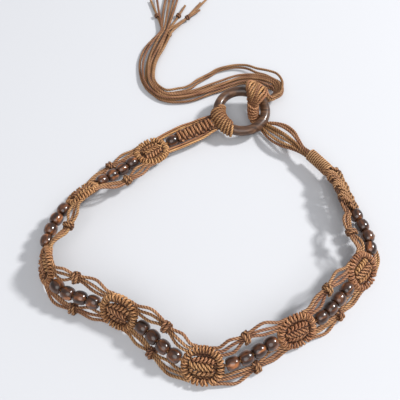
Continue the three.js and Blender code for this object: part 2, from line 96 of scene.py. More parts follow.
# %% [markdown]
# ## A twisted cord
#
# The cord is three plies of cotton laid round each other. It could be a plain round tube with a
# striped texture, but the light then shows a smooth pipe. Here its section is a small rounded
# trefoil, and the section turns as it travels along the path, so the plies are real ridges.
# Each path is first made smooth, then cut into equal steps, because an even twist needs them.

# %% Paths: smooth, then even
CORD = 3.0  # thickness of the cord
LAY = 8.5  # length in which the plies turn once
STEP = 0.95  # length of one step along a cord


def smooth(knots, per_span=10):
    """A soft curve through a few places, with an equal number of points in each span."""
    p = np.asarray(knots, float)
    p = np.vstack([2 * p[0] - p[1], p, 2 * p[-1] - p[-2]])
    gaps = np.maximum(np.linalg.norm(np.diff(p, axis=0), axis=1), 1e-6) ** 0.5
    pieces = []
    for i in range(1, len(p) - 2):
        d0, d1, d2 = gaps[i - 1], gaps[i], gaps[i + 1]
        leave = (p[i] - p[i - 1]) / d0 - (p[i + 1] - p[i - 1]) / (d0 + d1) + (p[i + 1] - p[i]) / d1
        reach = (p[i + 1] - p[i]) / d1 - (p[i + 2] - p[i]) / (d1 + d2) + (p[i + 2] - p[i + 1]) / d2
        t = np.linspace(0, 1, per_span, endpoint=False)[:, None]
        a = 2 * p[i] - 2 * p[i + 1] + (leave + reach) * d1
        b = 3 * (p[i + 1] - p[i]) - (2 * leave + reach) * d1
        pieces.append(((a * t + b) * t + leave * d1) * t + p[i])
    return np.vstack(pieces + [p[-2:-1]])


def even(points, step):
    """The same path in equal steps."""
    p = np.asarray(points, float)
    run = np.concatenate([[0], np.cumsum(np.linalg.norm(np.diff(p, axis=0), axis=1))])
    count = max(int(round(run[-1] / step)), 3)
    marks = np.linspace(0, run[-1], count + 1)
    return np.stack([np.interp(marks, run, p[:, i]) for i in range(3)], axis=1), run[-1]


print("a metre of cord takes", round(1000 / STEP), "steps")

# %% The trefoil section, as a small curve that every cord follows
PLIES = 3
RIDGES = (1.0, 0.92, 0.74, 0.92)  # reach of a ply's crest, flank, groove and flank
RIDGE_PAINTED_LIGHT = (1.0, 0.55, 0.0, 0.55)  # painted groove shade (0) to painted crest highlight (1)
PLY_POINTS = len(RIDGES)
SECTION_POINTS = PLY_POINTS * PLIES

section_curve = bpy.data.curves.new("cord_section", "CURVE")
section_curve.dimensions = "2D"
outline = section_curve.splines.new("POLY")
outline.points.add(SECTION_POINTS - 1)
for i, point in enumerate(outline.points):
    turn = 2 * math.pi * i / SECTION_POINTS
    reach = RIDGES[i % PLY_POINTS] * MM / 2
    point.co = (reach * math.cos(turn), reach * math.sin(turn), 0, 1)
outline.use_cyclic_u = True
section = bpy.data.objects.new("cord_section", section_curve)
bpy.context.scene.collection.objects.link(section)
print("points round a cord:", SECTION_POINTS)

# %% [markdown]
# ## Where cords lie close together
#
# In real knotwork the eye finds the knots by the dark lines between the cords, where little
# light gets in. A render of smooth cords without fluff leaves those narrow gaps too pale. So
# every place on a cord keeps a number, its openness, that tells how far off the nearest other
# cord is, and the finish turns darker where it is small. A picture painted for each piece could
# do the same, but a number for each place needs no unwrapping.

# %% How open each place on a cord's surface is
GAP_SEEN = 0.5  # in cord widths: the depth in which a gap grows dark
OWN_LENGTH = 1.6  # in cord widths: what is nearer along the same cord is no neighbour
SKIN = 0.44  # in cord widths: from a cord's middle to its surface


def openness(mesh, strands, width):
    """0 where a neighbouring cord touches, 1 where the nearest one is far off."""
    centres = np.vstack([points for points, _ in strands])
    strand_of = np.concatenate([np.full(len(p), k) for k, (p, _) in enumerate(strands)])
    run = np.concatenate([np.linspace(0, length, len(p)) for p, length in strands])
    tree = KDTree(len(centres))
    for i, centre in enumerate(centres):
        tree.insert(centre, i)
    tree.balance()
    surface = np.empty(len(mesh.vertices) * 3)
    mesh.vertices.foreach_get("co", surface)
    rings = (surface.reshape(len(centres), SECTION_POINTS, 3) - RING_AT) / MM
    clear = np.full((len(centres), SECTION_POINTS), GAP_SEEN * width)
    for i, centre in enumerate(centres):
        near = np.array([j for _, j, _ in tree.find_range(centre, (1 + GAP_SEEN) * width)])
        apart = abs(run[near] - run[i]) > OWN_LENGTH * width
        other = near[(strand_of[near] != strand_of[i]) | apart]
        if len(other):
            off = np.linalg.norm(rings[i][:, None] - centres[other][None], axis=2).min(axis=1)
            clear[i] = np.minimum(clear[i], off - SKIN * width)
    return np.clip(clear / (GAP_SEEN * width), 0, 1).ravel()


print("a gap grows dark over", GAP_SEEN * CORD, "mm")

# %% [markdown]
# ## Laying cords
#
# Blender sweeps the section along a curve, and turns it by the curve's tilt. That is how each
# cord gets its twist. The curve is then made a mesh, because only a mesh can keep numbers for
# each place. The mesh comes ring by ring, so its ends are easy to find and to close.

# %% One strand of a curve, twisted
chance = np.random.default_rng(11)
cord_total = {"length": 0.0, "triangles": 0}


def add_strand(curve, points, length, width):
    spline = curve.splines.new("POLY")
    spline.points.add(len(points) - 1)
    placed = np.hstack([to_scene(points), np.ones((len(points), 1))])
    spline.points.foreach_set("co", placed.ravel())
    start = chance.uniform(0, 2 * math.pi)
    twist = start + 2 * math.pi * np.linspace(0, length / LAY, len(points))
    spline.points.foreach_set("tilt", twist)
    spline.points.foreach_set("radius", np.full(len(points), width))


def close_ends(mesh, ring_counts):
    """Closes both ends of each cord and turns all faces outwards."""
    shape = bmesh.new()
    shape.from_mesh(mesh)
    shape.verts.ensure_lookup_table()
    first = 0
    for count in ring_counts:
        last = first + (count - 1) * SECTION_POINTS
        for start in (first, last):
            shape.faces.new(shape.verts[start:start + SECTION_POINTS])
        first = last + SECTION_POINTS
    bmesh.ops.recalc_face_normals(shape, faces=shape.faces)
    shape.to_mesh(mesh)
    shape.free()


print("the plies turn once in", LAY, "mm")


# %% Laying cords along paths
def lay_cords(name, paths, finish, width=CORD, deepest=0.0):
    """One mesh of twisted cords along paths in millimetres round the ring.

    deepest is the openness that the tightest gap keeps: more than 0 paints paler shade in the gaps.
    """
    curve = bpy.data.curves.new(name, "CURVE")
    curve.dimensions = "3D"
    curve.bevel_mode = "OBJECT"
    curve.bevel_object = section
    strands = [even(path, STEP) for path in paths]
    tones, ridges = [], []
    for points, length in strands:
        add_strand(curve, points, length, width)
        cord_total["length"] += length
        tones.append(np.full(len(points) * SECTION_POINTS, chance.uniform(0, 1)))
        ridges.append(np.tile(RIDGE_PAINTED_LIGHT, PLIES * len(points)))
    swept = bpy.data.objects.new(name, curve)
    bpy.context.scene.collection.objects.link(swept)
    bpy.context.view_layer.update()
    graph = bpy.context.evaluated_depsgraph_get()
    mesh = bpy.data.meshes.new_from_object(swept.evaluated_get(graph))
    bpy.data.objects.remove(swept)
    looks = {"tone": np.concatenate(tones), "ridge": np.concatenate(ridges),
             "open": deepest + (1 - deepest) * openness(mesh, strands, width)}
    close_ends(mesh, [len(points) for points, _ in strands])
    for label, values in looks.items():
        kept = mesh.attributes.new(label, "FLOAT", "POINT")
        kept.data.foreach_set("value", values)
    triangles = sum(len(face.vertices) - 2 for face in mesh.polygons)
    cord_total["triangles"] += triangles
    print(name, "vertices", len(mesh.vertices), "triangles", triangles)
    return put_in_scene(name, mesh, finish)


def put_in_scene(name, mesh, finish):
    """Makes a mesh one piece of the belt, with its finish and body."""
    mesh.name = name
    mesh.shade_smooth()
    mesh.materials.clear()
    mesh.materials.append(finish)
    piece = bpy.data.objects.new(name, mesh)
    bpy.context.scene.collection.objects.link(piece)
    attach(piece, "root")
    return piece


print("cords are laid in steps of", STEP, "mm")

# %% [markdown]
# ## What the cord is dyed and waxed to, and the light and shade painted on it
#
# The cord is camel brown, and no two cords took the dye alike. It is lighter where a ply stands
# proud, a painted highlight, and red-brown in its grooves, painted shade. One flat brown would
# look like plastic. So the colour follows four things: how high a ply stands, which cord it is, a
# slow cloud of stain along it, and painted shade where the place lies deep between neighbouring
# cords. Fine fibres are only a bump, far smaller than the plies. Where a cord is pulled tight into
# a knot its plies close up, so there the painted shade and highlight show less.


# %% Small helpers for finishes
def from_srgb(colour):
    shares = [part / 255 for part in colour]
    return [s / 12.92 if s <= 0.04045 else ((s + 0.055) / 1.055) ** 2.4 for s in shares]


def node(tree, kind, at, **settings):
    made = tree.nodes.new(kind)
    made.location = at
    for key, value in settings.items():
        setattr(made, key, value)
    return made


def noise(tree, at, where, scale, detail, distortion=0):
    made = node(tree, "ShaderNodeTexNoise", at)
    made.inputs["Scale"].default_value = scale
    made.inputs["Detail"].default_value = detail
    made.inputs["Distortion"].default_value = distortion
    tree.links.new(where, made.inputs["Vector"])
    return made.outputs["Fac"]


def ramp(tree, at, source, stops):
    """Colours along a number: each stop is a place from 0 to 1 and a colour."""
    made = node(tree, "ShaderNodeValToRGB", at)
    elements = made.color_ramp.elements
    while len(elements) < len(stops):
        elements.new(0.5)
    for element, (place, colour) in zip(elements, stops):
        element.position = place
        element.color = (*from_srgb(colour), 1)
    tree.links.new(source, made.inputs["Fac"])
    return made.outputs["Color"]


def spread(tree, at, source, onto, seen=(0, 1)):
    """A number that runs over the span seen, spread onto another span."""
    made = node(tree, "ShaderNodeMapRange", at)
    for label, value in zip(("From Min", "From Max", "To Min", "To Max"), (*seen, *onto)):
        made.inputs[label].default_value = value
    tree.links.new(source, made.inputs["Value"])
    return made.outputs["Result"]


def bump(tree, at, source, shader, strength, distance):
    made = node(tree, "ShaderNodeBump", at)
    made.inputs["Strength"].default_value = strength
    made.inputs["Distance"].default_value = distance
    tree.links.new(source, made.inputs["Height"])
    tree.links.new(made.outputs["Normal"], shader.inputs["Normal"])


def new_finish(name):
    finish = bpy.data.materials.new(name)
    finish.use_nodes = True
    return finish, finish.node_tree, finish.node_tree.nodes["Principled BSDF"]


print("a middle grey in the shader's numbers:", round(from_srgb((128, 128, 128))[0], 3))

# %% What the colour of a cord follows
WHITE, BLACK = (255, 255, 255), (0, 0, 0)
STAIN_SCALE, STAIN_SHARE = 95, 0.55  # clouds of stain in a metre, and their strength
FIBRE_SCALE, FIBRE_HEIGHT = 2600, 0.0002  # fibres in a metre, and their height in metres
CORD_BRIGHTNESS = (0.84, 1.16)  # of the darkest and the palest cord
CORD_HUE = (0.493, 0.511)  # 0.5 leaves the hue as it is
GAP_SHADE_COLOURS = (54, 40, 32), (164, 146, 132)  # painted shade between cords, in the tightest gap and further out


def stained(tree, where, colour, stain):
    """The colour with a slow cloud of stain over it."""
    cloud = noise(tree, (-900, -100), where, STAIN_SCALE, 3)
    patches = ramp(tree, (-650, -100), cloud, [(0.36, BLACK), (0.66, WHITE)])
    share = node(tree, "ShaderNodeMath", (-450, 50), operation="MULTIPLY")
    share.inputs[1].default_value = STAIN_SHARE
    tree.links.new(patches, share.inputs[0])
    mixed = node(tree, "ShaderNodeMix", (-400, 300), data_type="RGBA", blend_type="MULTIPLY")
    tree.links.new(share.outputs["Value"], mixed.inputs["Factor"])
    tree.links.new(colour, mixed.inputs["A"])
    mixed.inputs["B"].default_value = (*from_srgb(stain), 1)
    return mixed.outputs["Result"]


def with_own_tone(tree, colour):
    """The colour as each cord took it: a little paler or darker, redder or yellower."""
    tone = node(tree, "ShaderNodeAttribute", (-1100, 100), attribute_name="tone").outputs["Fac"]
    tint = node(tree, "ShaderNodeHueSaturation", (-200, 300))
    tree.links.new(spread(tree, (-450, 500), tone, CORD_BRIGHTNESS), tint.inputs["Value"])
    tree.links.new(spread(tree, (-450, 750), tone, CORD_HUE), tint.inputs["Hue"])
    tree.links.new(colour, tint.inputs["Color"])
    return tint.outputs["Color"]


# Painted shade: the colour darkens where another cord lies close, where little light gets in.
def shade_painted_in_gaps(tree, colour):
    gap = node(tree, "ShaderNodeAttribute", (-200, 0), attribute_name="open")
    stops = [(0.0, GAP_SHADE_COLOURS[0]), (0.45, GAP_SHADE_COLOURS[1]), (0.9, WHITE)]
    shade = ramp(tree, (-50, 0), gap.outputs["Fac"], stops)
    mixed = node(tree, "ShaderNodeMix", (0, 300), data_type="RGBA", blend_type="MULTIPLY")
    mixed.inputs["Factor"].default_value = 1
    tree.links.new(colour, mixed.inputs["A"])
    tree.links.new(shade, mixed.inputs["B"])
    return mixed.outputs["Result"]


print("cords differ in brightness from", CORD_BRIGHTNESS[0], "to", CORD_BRIGHTNESS[1])


# %% Cord finish
def cord_finish(name, groove, body, crest, stain):
    """A dyed cord: its colour, painted shade in grooves, painted highlight on crests, a darker
    stain.
    """
    finish, tree, shader = new_finish(name)
    ridge = node(tree, "ShaderNodeAttribute", (-1100, 300), attribute_name="ridge")
    where = node(tree, "ShaderNodeTexCoord", (-1100, -200)).outputs["Object"]
    # Painted shade in the grooves and a painted highlight on the crests, by the ply's ridge.
    plies = [(0.0, groove), (0.5, body), (1.0, crest)]
    colour = ramp(tree, (-850, 400), ridge.outputs["Fac"], plies)
    colour = stained(tree, where, colour, stain)
    colour = shade_painted_in_gaps(tree, with_own_tone(tree, colour))
    tree.links.new(colour, shader.inputs["Base Color"])
    fibre = noise(tree, (-900, -400), where, FIBRE_SCALE, 2)
    bump(tree, (-400, -400), fibre, shader, 0.5, FIBRE_HEIGHT)
    shader.inputs["Roughness"].default_value = 0.6
    shader.inputs["Specular IOR Level"].default_value = 0.35
    shader.inputs["Sheen Weight"].default_value = 0.04
    shader.inputs["Sheen Roughness"].default_value = 0.5
    return finish


camel = cord_finish(
    "camel_cord",
    groove=(56, 31, 16), body=(150, 103, 67), crest=(202, 155, 112), stain=(168, 126, 98))
# In a knot the plies close up, so the painted shade in its grooves is paler.
tight = cord_finish(
    "camel_cord_pulled_tight",
    groove=(116, 77, 47), body=(178, 126, 83), crest=(214, 165, 117), stain=(180, 138, 106))
# Painted shade: the tail is the same camel cord, darker all over for the shade among its cords.
tail_camel_painted_darker = cord_finish(
    "camel_cord_of_the_tail_painted_darker",
    groove=(44, 24, 12), body=(138, 94, 61), crest=(192, 146, 105), stain=(160, 120, 92))
straw = cord_finish(
    "straw_cord",
    groove=(142, 104, 66), body=(194, 150, 104), crest=(220, 180, 130), stain=(206, 174, 134))
print("finishes:", camel.name, tight.name, tail_camel_painted_darker.name, straw.name)

# %% [markdown]
# ## The tail
#
# The free cords come down outside the ring, turn back on themselves as a leaning ribbon and run
# away from the belt to their tips. They are cords in their own right, so they come first. Ten
# cords keep their places beside each other and in two layers. Each strays a little from the
# others on its way, and two stray a lot.

# %% Route of the tail, in ring widths from the ring's middle
RING_WIDTH = 60.0
BEND_WIDTHS = (0.78, 1, 0.95, 0.68)  # of the ribbon, as shares of its full width
BEND_ROUTE = RING_WIDTH * np.array([
    (0.53, 0.377, 0.15), (0.617, 0.433, 0.147), (0.683, 0.525, 0.144), (0.705, 0.625, 0.14),
])
TAIL_ROUTE = RING_WIDTH * np.array([
    (0.69, 0.74, 0.13), (0.61, 0.84, 0.12), (0.48, 0.92, 0.107), (0.3, 0.975, 0.09),
    (0, 0.975, 0.07), (-0.45, 0.783, 0.06), (-0.917, 0.592, 0.056), (-1.333, 0.55, 0.056),
    (-1.5, 0.667, 0.056), (-1.633, 0.85, 0.056), (-1.675, 1.067, 0.056), (-1.65, 1.433, 0.056),
    (-1.508, 1.917, 0.056), (-1.358, 2.35, 0.056),
])
UP = np.array([0.0, 0.0, 1.0])


def unit(vector):
    return vector / np.linalg.norm(vector)


def sides(path):
    """Direction of travel and right-hand side at each point of a path."""
    ahead = np.gradient(path, axis=0)
    ahead /= np.linalg.norm(ahead, axis=1)[:, None]
    right = np.cross(ahead, UP)
    right /= np.linalg.norm(right, axis=1)[:, None]
    return ahead, right


def ease(x, low, high):
    t = np.clip((np.asarray(x, float) - low) / (high - low), 0, 1)
    return t * t * (3 - 2 * t)


def gently(x, places, values):
    """Values at a few places, joined by soft steps."""
    at, value = np.array(places, float), np.array(values, float)
    after = np.clip(np.searchsorted(at, x, side="right"), 1, len(at) - 1)
    share = ease((x - at[after - 1]) / (at[after] - at[after - 1]), 0, 1)
    return value[after - 1] + (value[after] - value[after - 1]) * share


tail_line, tail_length = even(smooth(np.vstack([BEND_ROUTE, TAIL_ROUTE])), 3.0)
_, tail_right = sides(tail_line)
bend_steps = np.linalg.norm(np.diff(BEND_ROUTE, axis=0), axis=1)
bend_run = np.concatenate([[0], np.cumsum(bend_steps)])
print("the tail's route is", round(tail_length), "mm long, its bend", round(bend_run[-1]), "mm")

# %% Ten cords: place across, layer, strays in cords along the route, tip and knot
STRAY_AT = (0.0, 0.05, 0.12, 0.2, 0.27, 0.35, 0.46, 0.6, 0.84, 1.0)
TAIL_CORDS = [
    {"place": -1.0, "layer": -1, "stray": (-0.9, -1.9, -0.9, 0, 0, 0, -1.1, -0.5, -2.6, 0),
     "tip": (-86, 201), "knot": 0},
    {"place": -0.8, "layer": 1, "stray": (-0.6, -1.2, -0.5, 0, 0, 0, 0.2, 0, -1.7, 0),
     "tip": (-98, 200), "knot": 0},
    {"place": -0.55, "layer": -1, "stray": (-0.3, -0.6, -0.2, 0, 0, 0, 0.1, 0, -0.8, 0),
     "tip": (-105, 194), "knot": 0.966},
    {"place": -0.32, "layer": 1, "stray": (0, 0, 0, 0.1, 0, 0, 0, 0.2, -0.2, 0),
     "tip": (-81, 203), "knot": 0},
    {"place": -0.1, "layer": -1, "stray": (0, 0, 0.2, 0.3, 0.2, 0.2, 0.1, 0, 0.1, 0),
     "tip": (-76, 202), "knot": 0},
    {"place": 0.1, "layer": 1, "stray": (0, 0, 0, 0, -0.2, -0.2, 0, 0.3, 0.3, 0),
     "tip": (-70, 203), "knot": 0},
    {"place": 0.32, "layer": -1, "stray": (0, 0, 0.3, 0.3, 0.2, 0.3, 0.2, -0.2, 0.4, 0),
     "tip": (-62, 184), "knot": 0.975},
    {"place": 0.55, "layer": 1, "stray": (0, 0, 0.3, 0.2, 0, 0.1, 0.2, 0.2, 0.6, 0),
     "tip": (-44, 174), "knot": 0.975},
    {"place": 0.8, "layer": -1, "stray": (0, 0.2, 1.4, 4.5, 5.3, 4.2, 1.5, 0.1, 0.7, 0),
     "tip": (-43, 189), "knot": 0.93},
    {"place": 1.0, "layer": 1, "stray": (0.6, 3.0, 2.3, 4.6, 5.5, 4.4, 1.7, 0.1, 0.9, 0),
     "tip": (-35, 195), "knot": 0},
]
LOWEST = CORD / 2 + 0.25  # middle of a cord that lies on the surface
TAIL_SPREAD, TAIL_SHIFT = 1.95, -0.3  # half the tail's width and its shift aside, in cords
WANDER, WANDER_TURNS = 0.3, 2.3  # how far, in cords, and how often a cord leaves its place
LAYER_RISE = 0.47  # of the upper layer above the middle, in cords
LIE_FROM, LIE_TO = -4, 26  # where the leaning ribbon lies down, from the end of the bend


def in_bend(place, layer):
    """Right and up from the middle of the bend, where the ribbon leans outwards."""
    return np.array([5.6 * place - 1.15 * layer, 6.8 * place + 1.0 * layer])


def tail_cord(row):
    run = np.linspace(0, tail_length, len(tail_line))
    t = np.clip((run - bend_run[-1]) / (tail_length - bend_run[-1]), 0, 1)
    narrow = gently(t, (0, 0.2, 0.5, 0.75, 1), (0.95, 1.05, 0.84, 0.86, 1.1))
    flat = CORD * (TAIL_SPREAD * row["place"] + TAIL_SHIFT) * narrow
    flat += CORD * gently(t, STRAY_AT, row["stray"])
    wander = np.sin(2 * math.pi * (WANDER_TURNS * t + row["place"]))
    flat += WANDER * CORD * wander * ease(t, 0.08, 0.25)
    leaning = in_bend(row["place"], row["layer"]) * np.interp(run, bend_run, BEND_WIDTHS)[:, None]
    lie_down = ease(run, bend_run[-1] + LIE_FROM, bend_run[-1] + LIE_TO)
    across = leaning[:, 0] * (1 - lie_down) + flat * lie_down
    above = leaning[:, 1] * (1 - lie_down) + LAYER_RISE * CORD * row["layer"] * lie_down
    path = tail_line + tail_right * across[:, None] + UP * above[:, None]
    tip = np.array([*row["tip"], LOWEST + 0.8 * (row["layer"] + 1)])
    bow = (path[-1] + tip) / 2 + tail_right[-1] * row["place"] * 2
    path = smooth(np.vstack([path[::3], bow, tip]), 8)
    path[:, 2] = np.maximum(path[:, 2], LOWEST)
    return path


KNOT_TURNS, KNOT_POINTS = 1.75, 26
KNOT_LONG, KNOT_WIDE, KNOT_HIGH = 0.744, 0.72, 0.66  # reach from its middle, in cords


def knotted_tip(path, share):
    """A small overhand knot at a share of the path, as a loop round the cord itself."""
    at = int(share * (len(path) - 1))
    ahead, right = sides(path)
    turn = np.linspace(0, 2 * math.pi * KNOT_TURNS, KNOT_POINTS)
    along = np.linspace(-KNOT_LONG, KNOT_LONG, KNOT_POINTS) * CORD
    loop = path[at] + ahead[at] * along[:, None]
    loop = loop + right[at] * (np.cos(turn) * CORD * KNOT_WIDE)[:, None]
    loop = loop + UP * (np.sin(turn) * CORD * KNOT_HIGH + CORD * 0.1)[:, None]
    return loop


for i, row in enumerate(TAIL_CORDS):
    path = tail_cord(row)
    strands = [path]
    if row["knot"]:
        strands.append(knotted_tip(path, row["knot"]))
    piece = lay_cords(f"tail_cord_{i + 1:02d}", strands, tail_camel_painted_darker)
    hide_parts("tail_bend", "tail_fringe")
    points, length = even(path, 3.0)
    print("tail cord", i + 1, "length", round(length), "mm")

# %% [markdown]
# ## The course of the band
#
# The band is a chain of units: knotted eyes, bead runs, the sinnet, the braid and the coil. Each
# has a length, and a row of the table says which way it heads and how steeply its two halves
# lean. Walking along the headings in small steps gives the middle line. A point of the band is
# then named the way a knotter would: how far along, how far across and how far out of the face.

# %% Sizes of the band's units
BEAD_WIDTH, BEAD_LENGTH = 12.4, 11.3
BEAD_GAP, BEAD_SETBACK, BEADS_PER_RUN = 0.7, 0.6, 4  # between beads, and before the first
BEAD_PITCH = BEAD_LENGTH + BEAD_GAP
CLEARANCE = 0.3  # between pieces that lie against each other
BOW_INNER, BOW_OUTER = 20.5, 17.0  # reach of the side cords, on the waist side and below
MOTIF_CORNER = 2.3  # fullness of an eye's outline: 2 is a plain oval
RING_RADIUS, RING_TUBE = 24.75, 5.25  # of the ring's middle line, and of its wood
HITCH_BEARING = math.radians(205)  # where on the ring the band starts
BAND_START = RING_RADIUS + RING_TUBE + CLEARANCE + CORD + 3 * CLEARANCE

KINDS = {  # length, half width, thickness
    "neck": (4.5, 7.5, 7.0),
    "sinnet": (35.0, 7.5, 7.0),
    "lead": (12.5, 6.2, 12.4),
    "motif": (36.5, 18.0, 7.0),
    "run": (BEADS_PER_RUN * BEAD_PITCH - BEAD_GAP + 2 * BEAD_SETBACK, 18.5, CORD),
    "braid": (48.0, 12.0, 8.0),
    "coil": (29.0, 0.0, 12.0),
}
COURSE = [  # kind, heading, lean of the waist side, lean of the lower side, lift in cords
    ("neck", -156, 0, 0, 3), ("sinnet", -157, 4, 4, 1.8), ("lead", -151, 6, 6, 0.3),
    ("motif", -141, 10, 10, 0.3), ("run", -140, 14, 22, 0.3),
    ("motif", -134, 45, 45, 0), ("run", -109, 18, 72, 0),
    ("motif", -75, 66, 68, 0), ("run", -16, 50, 62, 0),
    ("motif", -26, 58, 60, 0), ("run", -48, 52, 58, 0),
    ("motif", -8, 42, 44, 0), ("run", 33, 50, 60, 0),
    ("motif", 22, 60, 62, 0), ("run", 49, 52, 60, 0),
    ("motif", 47, 46, 48, 0), ("run", 110, 22, 62, 0),
    ("braid", 106, 50, 55, 1.2), ("coil", 129, 20, 20, 2.8),
]
print("units on the band:", len(COURSE))

# %% Units end to end, and the middle line
units = []
reached = 0.0
for kind, heading, lean_in, lean_out, lift in COURSE:
    length, reach, thickness = KINDS[kind]
    lean = math.radians(lean_out)
    height = reach * math.sin(lean) + thickness / 2 * math.cos(lean) + lift * CORD
    units.append({
        "kind": kind, "start": reached, "middle": reached + length / 2, "end": reached + length,
        "length": length, "reach": reach, "heading": heading,
        "lean_in": lean_in, "lean_out": lean_out, "height": height,
    })
    reached += length

MIDDLES = np.array([u["middle"] for u in units])


def along_course(s, column, gentle):
    """A column of the units, blended from the middle of one unit to the middle of the next."""
    values = np.array([u[column] for u in units], float)
    after = np.clip(np.searchsorted(MIDDLES, s, side="right"), 1, len(units) - 1)
    share = np.clip((s - MIDDLES[after - 1]) / (MIDDLES[after] - MIDDLES[after - 1]), 0, 1)
    if gentle:
        share = share * share * (3 - 2 * share)
    return values[after - 1] + (values[after] - values[after - 1]) * share


WALK = 0.5
walk_at = np.arange(WALK / 2, reached + WALK, WALK)
walk_heading = np.radians(along_course(walk_at, "heading", False))
walked = np.stack([np.cos(walk_heading), np.sin(walk_heading)], axis=1) * WALK
start_at = BAND_START * np.array([math.cos(HITCH_BEARING), math.sin(HITCH_BEARING)])
trail = np.vstack([start_at, start_at + np.cumsum(walked, axis=0)])
trail_s = np.arange(len(trail)) * WALK
print("the band is", round(reached), "mm long, from the ring to the end of the coil")


# %% A point of the band: along, across towards the waist, and out of the face
def band(places):
    s, v, n = np.atleast_2d(np.asarray(places, float)).T
    heading = np.radians(along_course(s, "heading", False))
    lean_in = np.radians(along_course(s, "lean_in", True))
    lean_out = np.radians(along_course(s, "lean_out", True))
    facing = lean_out + (lean_in - lean_out) * ease(v, -BEAD_WIDTH / 2, BEAD_WIDTH / 2)
    lean = np.where(v > 0, lean_in, lean_out)
    inward = v * np.cos(lean) - n * np.sin(facing)
    before = np.minimum(s, 0)  # the band goes straight on before its start
    x = np.interp(s, trail_s, trail[:, 0]) + before * np.cos(heading) - np.sin(heading) * inward
    y = np.interp(s, trail_s, trail[:, 1]) + before * np.sin(heading) + np.cos(heading) * inward
    z = along_course(s, "height", True) + v * np.sin(lean) + n * np.cos(facing)
    return np.stack([x, y, z], axis=1)


def of_kind(kind):
    return [u for u in units if u["kind"] == kind]


print("first bead's place:", band([(of_kind("lead")[0]["middle"], 0, 0)]).round(1))

# %% [markdown]
# ## The wooden beads
#
# Each bead is a turned barrel, drilled through, with its edges worn round. It is made the way a
# lathe makes it: the outline of one half section is spun once about the bead's axis. One bead
# is shaped and then copied to its 29 places on the bead cords.

# %% One bead, spun from its outline
BEAD_OUTLINE = [  # radius and place along the axis, as shares of half width and half length
    (0.31, -0.90), (0.36, -0.985), (0.5, -1.0), (0.68, -0.93), (0.83, -0.76), (0.94, -0.5),
    (0.99, -0.22), (1.0, 0.0), (0.99, 0.22), (0.94, 0.5), (0.83, 0.76), (0.68, 0.93),
    (0.5, 1.0), (0.36, 0.985), (0.31, 0.90),
]
BEAD_SIDES = 28


def turned_bead():
    bead = bmesh.new()
    half_width, half_length = BEAD_WIDTH / 2, BEAD_LENGTH / 2
    profile = [bead.verts.new((r * half_width, 0, z * half_length)) for r, z in BEAD_OUTLINE]
    edges = [bead.edges.new(pair) for pair in zip(profile, profile[1:] + profile[:1])]
    bmesh.ops.spin(
        bead, geom=profile + edges, cent=(0, 0, 0), axis=(0, 0, 1), angle=2 * math.pi,
        steps=BEAD_SIDES, use_merge=True, use_duplicate=False,
    )
    bmesh.ops.remove_doubles(bead, verts=bead.verts, dist=1e-4)
    bmesh.ops.recalc_face_normals(bead, faces=bead.faces)
    mesh = bpy.data.meshes.new("one_bead")
    bead.to_mesh(mesh)
    bead.free()
    return mesh


one_bead = turned_bead()
print("one bead:", len(one_bead.polygons), "faces")


# %% Where the beads sit, and the wood's own lengthwise grain in each
def bead_joints(unit_row):
    """Both ends of a unit's string of beads, and the places between them, along the band."""
    beads = BEADS_PER_RUN if unit_row["kind"] == "run" else 1
    first = unit_row["start"] + BEAD_SETBACK - BEAD_GAP / 2
    return [first + i * BEAD_PITCH for i in range(beads + 1)]


def bead_places():
    for unit_row in of_kind("lead") + of_kind("run"):
        joints = bead_joints(unit_row)
        for here, there in zip(joints, joints[1:]):
            yield band([(here, 0, 0), (there, 0, 0)])


def place_beads():
    beads = bmesh.new()
    grain = beads.verts.layers.float_vector.new("grain")
    for ends in bead_places():
        axis = Vector(unit(ends[1] - ends[0]))
        middle = Vector(to_scene(ends.mean(axis=0)))
        turn = axis.to_track_quat("Z", "Y").to_matrix().to_4x4()
        own = Matrix.Rotation(chance.uniform(0, 2 * math.pi), 4, "Z")
        offset = Vector(chance.uniform(-1, 1, 3))
        before = len(beads.verts)
        beads.from_mesh(one_bead)
        beads.verts.ensure_lookup_table()
        fresh = beads.verts[before:]
        for vertex in fresh:
            vertex[grain] = vertex.co * MM + offset
        place = Matrix.Translation(middle) @ turn @ own @ Matrix.Scale(MM, 4)
        bmesh.ops.transform(beads, matrix=place, verts=fresh)
    mesh = bpy.data.meshes.new("wooden_beads")
    beads.to_mesh(mesh)
    beads.free()
    return mesh


bead_mesh = place_beads()
print("all beads:", len(bead_mesh.polygons), "faces")

# %% [markdown]
# ## Dark polished wood
#
# The beads are stained nearly black-brown and polished, and where the stain took less, orange
# brown wood shows in long streaks. Each bead keeps its own coordinates with a random shift, so
# that the streaks run along its hole and no two beads match. The ring is a plainer walnut.


# %% Wood finish
PORE_FINENESS = 7  # pores for each streak
PORE_BRIGHTNESS = (0.78, 1.06)  # in a pore and beside it
PORE_DEPTH = 0.0001


